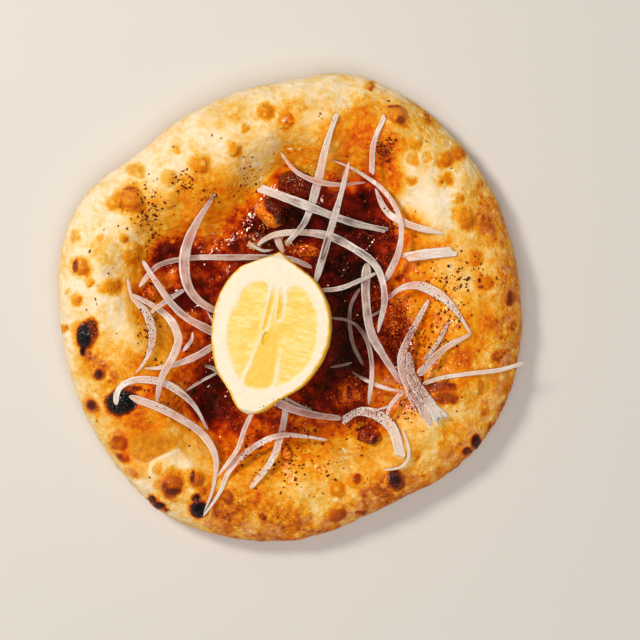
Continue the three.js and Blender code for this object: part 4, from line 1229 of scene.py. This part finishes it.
def corners_of(node):
    """A CAD node's corners, each once and in millimetres, and the triangles between them."""
    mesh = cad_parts[node].data
    place = np.round(gathered(mesh.vertices) * 1000, 3)
    corners, index = np.unique(place, axis=0, return_inverse=True)
    index = index.reshape(-1)
    mesh.calc_loop_triangles()
    return corners, [[int(index[v]) for v in face.vertices] for face in mesh.loop_triangles]


def sections_of(node):
    """A sliver's four-cornered sections from one end to the other, each from its left to its right."""
    corners, faces = corners_of(node)
    near = [set() for _ in corners]
    for face in faces:
        for corner in face:
            near[corner] |= set(face) - {corner}

    def layers(start):
        found = [sorted(start)]
        seen = set(start)
        while True:
            front = set().union(*(near[i] for i in found[-1])) - seen
            if not front:
                return found
            found.append(sorted(front))
            seen |= front

    def spread(rings):
        return sum(np.ptp(corners[ring], axis=0).sum() for ring in rings)

    best = None
    for far in layers([0])[-1]:
        close = set().union(*(near[i] for i in near[far])) - {far}
        for others in itertools.combinations(sorted(close), 3):
            rings = layers([far, *others])
            if all(len(ring) == 4 for ring in rings) and (best is None or spread(rings) < spread(best)):
                best = rings
    centres = np.array([corners[ring].mean(0) for ring in best])
    heading = np.gradient(centres[:, :2], axis=0)
    sections = []
    for ring, centre, (hx, hy) in zip(best, centres, heading):
        sideways = (corners[ring, 0] - centre[0]) * -hy + (corners[ring, 1] - centre[1]) * hx
        sections.append(corners[np.array(ring)[np.argsort(sideways)]])
    return np.array(sections)


def spline(values, stations, places):
    """Smooth values at places, on a Catmull-Rom curve through rows of values at stations."""
    k = np.clip(np.searchsorted(stations, places, "right") - 1, 0, len(stations) - 2)
    t = ((places - stations[k]) / (stations[k + 1] - stations[k]))[:, None]
    a = values[np.maximum(k - 1, 0)]
    b = values[k]
    c = values[k + 1]
    d = values[np.minimum(k + 2, len(values) - 1)]
    return catmull_rom(a, b, c, d, t)


def make_sliver(number, finish):
    name = f"onion_{number:02d}"
    sections = sections_of(name)
    left, left_top, right_top, right = (sections[:, i] for i in range(4))
    foot = (left + right) / 2
    side = (right - left) / 2
    rise = ((left_top + right_top) / 2 - foot) * SLIVER_FLATNESS
    stations = np.append(0, np.cumsum(np.linalg.norm(np.diff(foot, axis=0), axis=1)))
    length = stations[-1]
    places = np.linspace(0, length, max(8, round(length / SLIVER_STEP)))
    side[0], side[-1] = side[1], side[-2]
    rise[0], rise[-1] = rise[1], rise[-2]
    foot, side, rise = (spline(values, stations, places) for values in (foot, side, rise))
    from_end = np.minimum(places, length - places)
    tip_length = BLUNT_TIP if name in BLUNT_SLIVERS else SLIVER_TIP * (2, 4, 3, 6)[number % 4]
    tip = np.clip(1 - (1 - np.clip(from_end / tip_length, 0, 1)) ** 2, 0.02, 1) ** 0.7
    if name in FRAYED_SLIVERS:
        from_low = places if foot[0, 1] < foot[-1, 1] else length - places
        tip = np.where(from_low < length / 2, 1 + 0.5 * smooth(from_low, 10, 2), tip)
    turn = np.arange(SLIVER_SIDES) * math.tau / SLIVER_SIDES
    across = np.cos(turn)
    rounded = np.sign(np.sin(turn)) * np.abs(np.sin(turn)) ** 0.75
    groove = 0.24 * np.clip(1 - (across / 0.8) ** 2, 0, 1) * (rounded > 0)
    upward = 0.5 + 0.5 * rounded - groove
    wander = np.stack([places, np.full_like(places, 40.0 * number), np.zeros_like(places)], -1)
    wide = 1 + 0.1 * noise(wander, 9, 91) + 0.06 * noise(wander, 3, 92)
    ridge = 0.05 * np.sin(across[None, :] * 11 + number + 0.4 * noise(wander, 9, 93)[:, None])
    height = upward[None, :] + ridge * (rounded > 0)[None, :]
    width = (tip * wide)[:, None] * across[None, :]
    grid = foot[:, None, :] + side[:, None, :] * width[..., None]
    grid = grid + rise[:, None, :] * (mix(0.5, height, np.minimum(tip, 1)[:, None] ** 0.7))[..., None]
    if name in FRAYED_SLIVERS:
        torn = FRAY_LENGTH * smooth(from_low, FRAY_LENGTH, 0)[:, None] * np.abs(np.sin(3.6 * across + 0.6))
        inward = np.gradient(foot, axis=0) * (1 if grid[0, 0, 1] < grid[-1, 0, 1] else -1)
        inward /= np.linalg.norm(inward, axis=1, keepdims=True)
        grid = grid + 0.9 * torn[..., None] * inward[:, None, :]
    if name in BLUNT_SLIVERS:
        ahead = np.gradient(foot, axis=0)
        ahead /= np.linalg.norm(ahead, axis=1, keepdims=True)
        slant = BLUNT_SLIVERS[name] * smooth(from_end, 9, 0)[:, None] * across[None, :]
        grid = grid + slant[..., None] * ahead[:, None, :]
    points, faces = closed_rings(grid)
    half = np.linalg.norm(side, axis=1)[:, None]
    # Painted highlight: both edges of each sliver are painted near white, less where it lies deep in the
    # sauce.
    edge = smooth(np.abs(across)[None, :] * np.ones_like(half), 0.66, 0.92) * 0.8
    flat = grid.reshape(-1, 3)
    under = soaking_and_shade(flat[:, 0], flat[:, 1], flat).reshape(edge.shape)
    if name in GOLDEN_SLIVERS:
        level, last_x = GOLDEN_SLIVERS[name]
        under = mix(under, level, smooth(last_x - flat[:, 0], 0, 6).reshape(edge.shape))
    if name in FRAYED_SLIVERS:
        under = under * smooth(from_low, 4, 18)[:, None]
    dust = np.clip(0.25 + 1.7 * dusted(flat[:, 0], flat[:, 1]), 0, 1).reshape(edge.shape)
    pink = np.full_like(edge, 0.04 + PINK_SLIVERS.get(name, 0) * 0.6)
    if name in FRAYED_SLIVERS:
        pink = pink * smooth(from_low, 6, 20)[:, None]
    sunk_and_shade = SUNKEN_AND_SHADED_SLIVERS.get(name, 0) * smooth(under, 0.66, 0.9)
    fields = {
        "sunk_and_shade": sunk_and_shade,
        "along": np.repeat(places[:, None], SLIVER_SIDES, axis=1),
        "across": across[None, :] * half,
        "edge": edge * (1 - sunk_and_shade),
        "under": under,
        "pink": pink,
        "dust": dust,
    }
    fields = with_ends(fields)
    return build(f"onion_sliver_{number:02d}", points, faces, finish, [name], fields)


def pressed(place, middle, half, cut, share, depth):
    """Points that pass a plane, facing along cut at a share of the half sizes, pushed back to it."""
    cut = cut / np.linalg.norm(cut)
    over = (place - middle) @ cut - np.linalg.norm(cut * half) * share
    return place - cut * np.clip(over, 0, None)[:, None] * depth


def subdivided(node):
    """A roasted piece's solid, cut finely and rounded: points, normals and faces."""
    corners, faces = corners_of(node)
    mesh = bpy.data.meshes.new("rough_" + node)
    mesh.from_pydata(corners.tolist(), [], faces)
    rough = bpy.data.objects.new("rough_" + node, mesh)
    bpy.context.scene.collection.objects.link(rough)
    halve = rough.modifiers.new("halve", "SUBSURF")
    halve.subdivision_type = "SIMPLE"
    halve.levels = 2 if node == BLOCK else 1
    divide = rough.modifiers.new("divide", "SUBSURF")
    divide.levels = 3 if node == "roasted_2" else 2
    graph = bpy.context.evaluated_depsgraph_get()
    fine = rough.evaluated_get(graph).to_mesh()
    place = gathered(fine.vertices)
    normal = gathered(fine.vertices, "normal")
    quads = [list(face.vertices) for face in fine.polygons]
    rough.evaluated_get(graph).to_mesh_clear()
    bpy.data.objects.remove(rough)
    return place, normal, quads


def make_roasted(node, finish):
    """A roasted piece: its solid's form rounded and roughened."""
    orange, charred, facing = ROASTED[node]
    place, normal, quads = subdivided(node)
    low, high = place.min(0), place.max(0)
    middle = (low + high) / 2
    half = (high - low) / 2
    u, v, w = ((place - middle) / half).T
    facing = math.radians(facing)
    toward = u * math.cos(facing) + v * math.sin(facing)
    least = mix(-2, -0.35, smooth(charred, 0.1, 0.15))
    saucy = charred == 0
    tint = orange * smooth(toward - 0.3 * w, least, least + 0.4)
    tint += 0.55 * noise(place, 3.4, 107) + 0.2 * w if saucy else 0.2 * noise(place, 1.8, 107)
    tint = np.clip(tint, 0, 1)
    knobs = 0.6 * (0.6 - grains(place, 2, 101)) + 0.4 * (0.6 - grains(place, 1.1, 102))
    soft = 0.25 * noise(place, 3.5, 103) + saucy * (0.9 * noise(place, 6, 108) + 0.6 * noise(place, 3, 109))
    place = place + normal * (knobs * (0.9 if saucy else 1.1 - tint) + soft)[:, None]
    if node == BLOCK:
        cut = np.array([math.cos(facing), math.sin(facing), 0.35])
        place = pressed(place, middle, half, cut, 0.55, 1)
    for k in range(CUTS):
        heading = facing + 2.4 * k
        cut = np.array([math.cos(heading), math.sin(heading), (0.9, 0.3, 0.6)[k % 3]])
        place = pressed(place, middle, half, cut, 0.58 + 0.08 * (k % 4), 0.85)
    burnt = 0.8 * u - 0.25 * v + 0.35 * w + 0.3 * noise(place, 5, 105)
    char = smooth(burnt, 1.1 - 1.6 * charred, 1.4 - 1.6 * charred)
    return build(node + "_flesh", place, quads, finish, [node], {"orange": tint, "char": char})


def lumps_at(spots, sides, draw):
    """Small closed lumps: (place, normal, half sizes) each, as one mesh's points and faces."""
    points = []
    faces = []
    for place, normal, sizes in spots:
        turned = Vector(normal).to_track_quat("Z", "Y").to_matrix()
        spin = draw.uniform(0, math.tau)
        start = len(points)
        rings = [(-0.8, 0.6), (0.1, 1.0), (0.8, 0.6)] if sides > 4 else [(0.0, 1.0)]
        for up, wide in rings:
            for i in range(sides):
                angle = spin + math.tau * i / sides
                jitter = draw.uniform(0.75, 1.2)
                corner = Vector((math.cos(angle) * sizes[0] * wide * jitter,
                                 math.sin(angle) * sizes[1] * wide * jitter,
                                 sizes[2] * (up + draw.uniform(-0.15, 0.15))))
                points.append(Vector(place) + turned @ corner)
        last = start + (len(rings) - 1) * sides
        bottom = len(points)
        points.append(Vector(place) + turned @ Vector((0, 0, -sizes[2])))
        points.append(Vector(place) + turned @ Vector((0, 0, sizes[2])))
        for i in range(sides):
            after = (i + 1) % sides
            faces.append([bottom, start + after, start + i])
            faces.append([bottom + 1, last + i, last + after])
            for ring in range(len(rings) - 1):
                here = start + ring * sides
                faces.append([here + i, here + after, here + sides + after, here + sides + i])
    return points, faces


def topmost(pieces, x, y):
    """The highest point of the pieces at a place in plan, with its normal there, or nothing."""
    best = None
    origin = Vector((x / 1000, y / 1000, RAY_START))
    for piece, (low_x, low_y, high_x, high_y) in pieces:
        if not (low_x <= x <= high_x and low_y <= y <= high_y):
            continue
        hit, where, normal, _ = piece.ray_cast(origin, Vector((0, 0, -1)))
        if hit and (best is None or where.z * 1000 > best[0].z):
            best = (where * 1000, normal)
    return best


def reach_of(piece):
    """The box round a piece in plan."""
    place = gathered(piece.data.vertices)[:, :2] * 1000
    return (*place.min(0), *place.max(0))


def make_bits(ground):
    draw = random.Random(BIT_SEED)
    spots = []
    tints = []
    for px, py, spread, count, size, orange in BITS:
        for _ in range(count):
            x = draw.gauss(px, spread * BIT_SPREAD)
            y = draw.gauss(py, spread * BIT_SPREAD)
            found = topmost(ground, x, y)
            if not found:
                continue
            half = size * draw.uniform(0.5, 1.2)
            spots.append((found[0], found[1], (half, half * draw.uniform(0.5, 1), half * 0.5)))
            tints.append(min(1, max(0, orange + draw.uniform(-0.3, 0.3))))
    points, faces = lumps_at(spots, BIT_SIDES, draw)
    fields = {"orange": np.repeat(tints, 3 * BIT_SIDES + 2)}
    build("sauce_bits", points, faces, bits_finish(), [], fields)


def make_pepper(ground):
    draw = random.Random(FLAKE_SEED)
    spots = []
    reds = []
    for px, py, spread_x, spread_y, count, red in PEPPER:
        for _ in range(round(count * PEPPER_DENSITY)):
            x = draw.gauss(px, spread_x * FLAKE_SPREAD)
            y = draw.gauss(py, spread_y * FLAKE_SPREAD)
            found = topmost(ground, x, y)
            if not found or found[0].z < PEPPER_LOWEST_Z:
                continue
            if found[0].z > LEMON_CLEAN_Z and y > LEMON_NUB_Y:
                continue
            half = FLAKE_SIZE * mix(0.3, 1.8, draw.random() ** 2.4)
            sizes = (half, half * draw.uniform(0.4, 1), half * draw.uniform(0.4, 0.8))
            spots.append((found[0] + found[1] * sizes[2] * 0.5, found[1], sizes))
            reds.append(1.0 if draw.random() < red else draw.uniform(0, 0.4))
    points, faces = lumps_at(spots, FLAKE_SIDES, draw)
    fields = {"red": np.repeat(reds, FLAKE_SIDES + 2)}
    piece = build("pepper_flakes", points, faces, pepper_finish(), [], fields)
    piece.data.polygons.foreach_set("use_smooth", [False] * len(faces))


def make_stage():
    floor_finish = Finish("floor")
    floor_finish.set(Base_Color=paint(226, 222, 216), Roughness=0.8)
    mesh = bpy.data.meshes.new("floor")
    signs = ((-1, -1), (1, -1), (1, 1), (-1, 1))
    corners = [(FLOOR_HALF * x, FLOOR_HALF * y, 0) for x, y in signs]
    mesh.from_pydata(corners, [], [(0, 1, 2, 3)])
    mesh.materials.append(floor_finish.material)
    floor = bpy.data.objects.new("floor", mesh)
    bpy.context.scene.collection.objects.link(floor)


def make_light(name, direction, distance, size, power, color, glints):
    """A square soft light that looks at the bread from this direction."""
    lamp = bpy.data.lights.new(name, "AREA")
    lamp.size = size
    lamp.energy = power
    lamp.color = color
    light = bpy.data.objects.new(name, lamp)
    toward = Vector(direction).normalized()
    light.location = toward * distance
    light.rotation_euler = toward.to_track_quat("Z", "Y").to_euler()
    light.visible_glossy = glints
    bpy.context.scene.collection.objects.link(light)


def make_view():
    scene = bpy.context.scene
    data = bpy.data.cameras.new("camera")
    data.sensor_width = SENSOR
    data.lens = SENSOR * VIEW_HEIGHT / VIEW_WIDTH
    camera = bpy.data.objects.new("camera", data)
    camera.location = (VIEW_X / 1000, VIEW_Y / 1000, VIEW_HEIGHT / 1000)
    scene.collection.objects.link(camera)
    scene.camera = camera
    scene.view_settings.view_transform = "Standard"


def make_surroundings():
    """A soft glow from all sides, dimmer straight above, and the lights."""
    world = bpy.data.worlds.new("soft")
    world.use_nodes = True
    tree = world.node_tree
    background = tree.nodes["Background"]
    background.inputs["Color"].default_value = SKY_COLOR
    split = tree.nodes.new("ShaderNodeSeparateXYZ")
    tree.links.new(tree.nodes.new("ShaderNodeTexCoord").outputs["Generated"], split.inputs[0])
    height = tree.nodes.new("ShaderNodeMapRange")
    tree.links.new(split.outputs["Z"], height.inputs["Value"])
    names = ("From Min", "From Max", "To Min", "To Max")
    for name, value in zip(names, (*SKY_HEIGHTS, SKY_LOW, SKY_TOP)):
        height.inputs[name].default_value = value
    tree.links.new(height.outputs["Result"], background.inputs["Strength"])
    bpy.context.scene.world = world
    for name, light in LIGHTS.items():
        make_light(name, *light)


make_stage()
make_view()
make_surroundings()
bread = make_bread()
sauce = make_sauce()
roasted_look = roasted_finish()
roasted = [make_roasted(node, roasted_look) for node in ROASTED]
onion_look = onion_finish()
slivers = [make_sliver(number, onion_look) for number in range(1, SLIVERS + 1)]
lemon = make_lemon()
bpy.context.view_layer.update()
floor_of_bits = [(piece, reach_of(piece)) for piece in [sauce, *roasted]]
make_bits(floor_of_bits)
strewn = [(piece, reach_of(piece)) for piece in [bread, sauce, lemon, *roasted, *slivers]]
make_pepper(strewn)
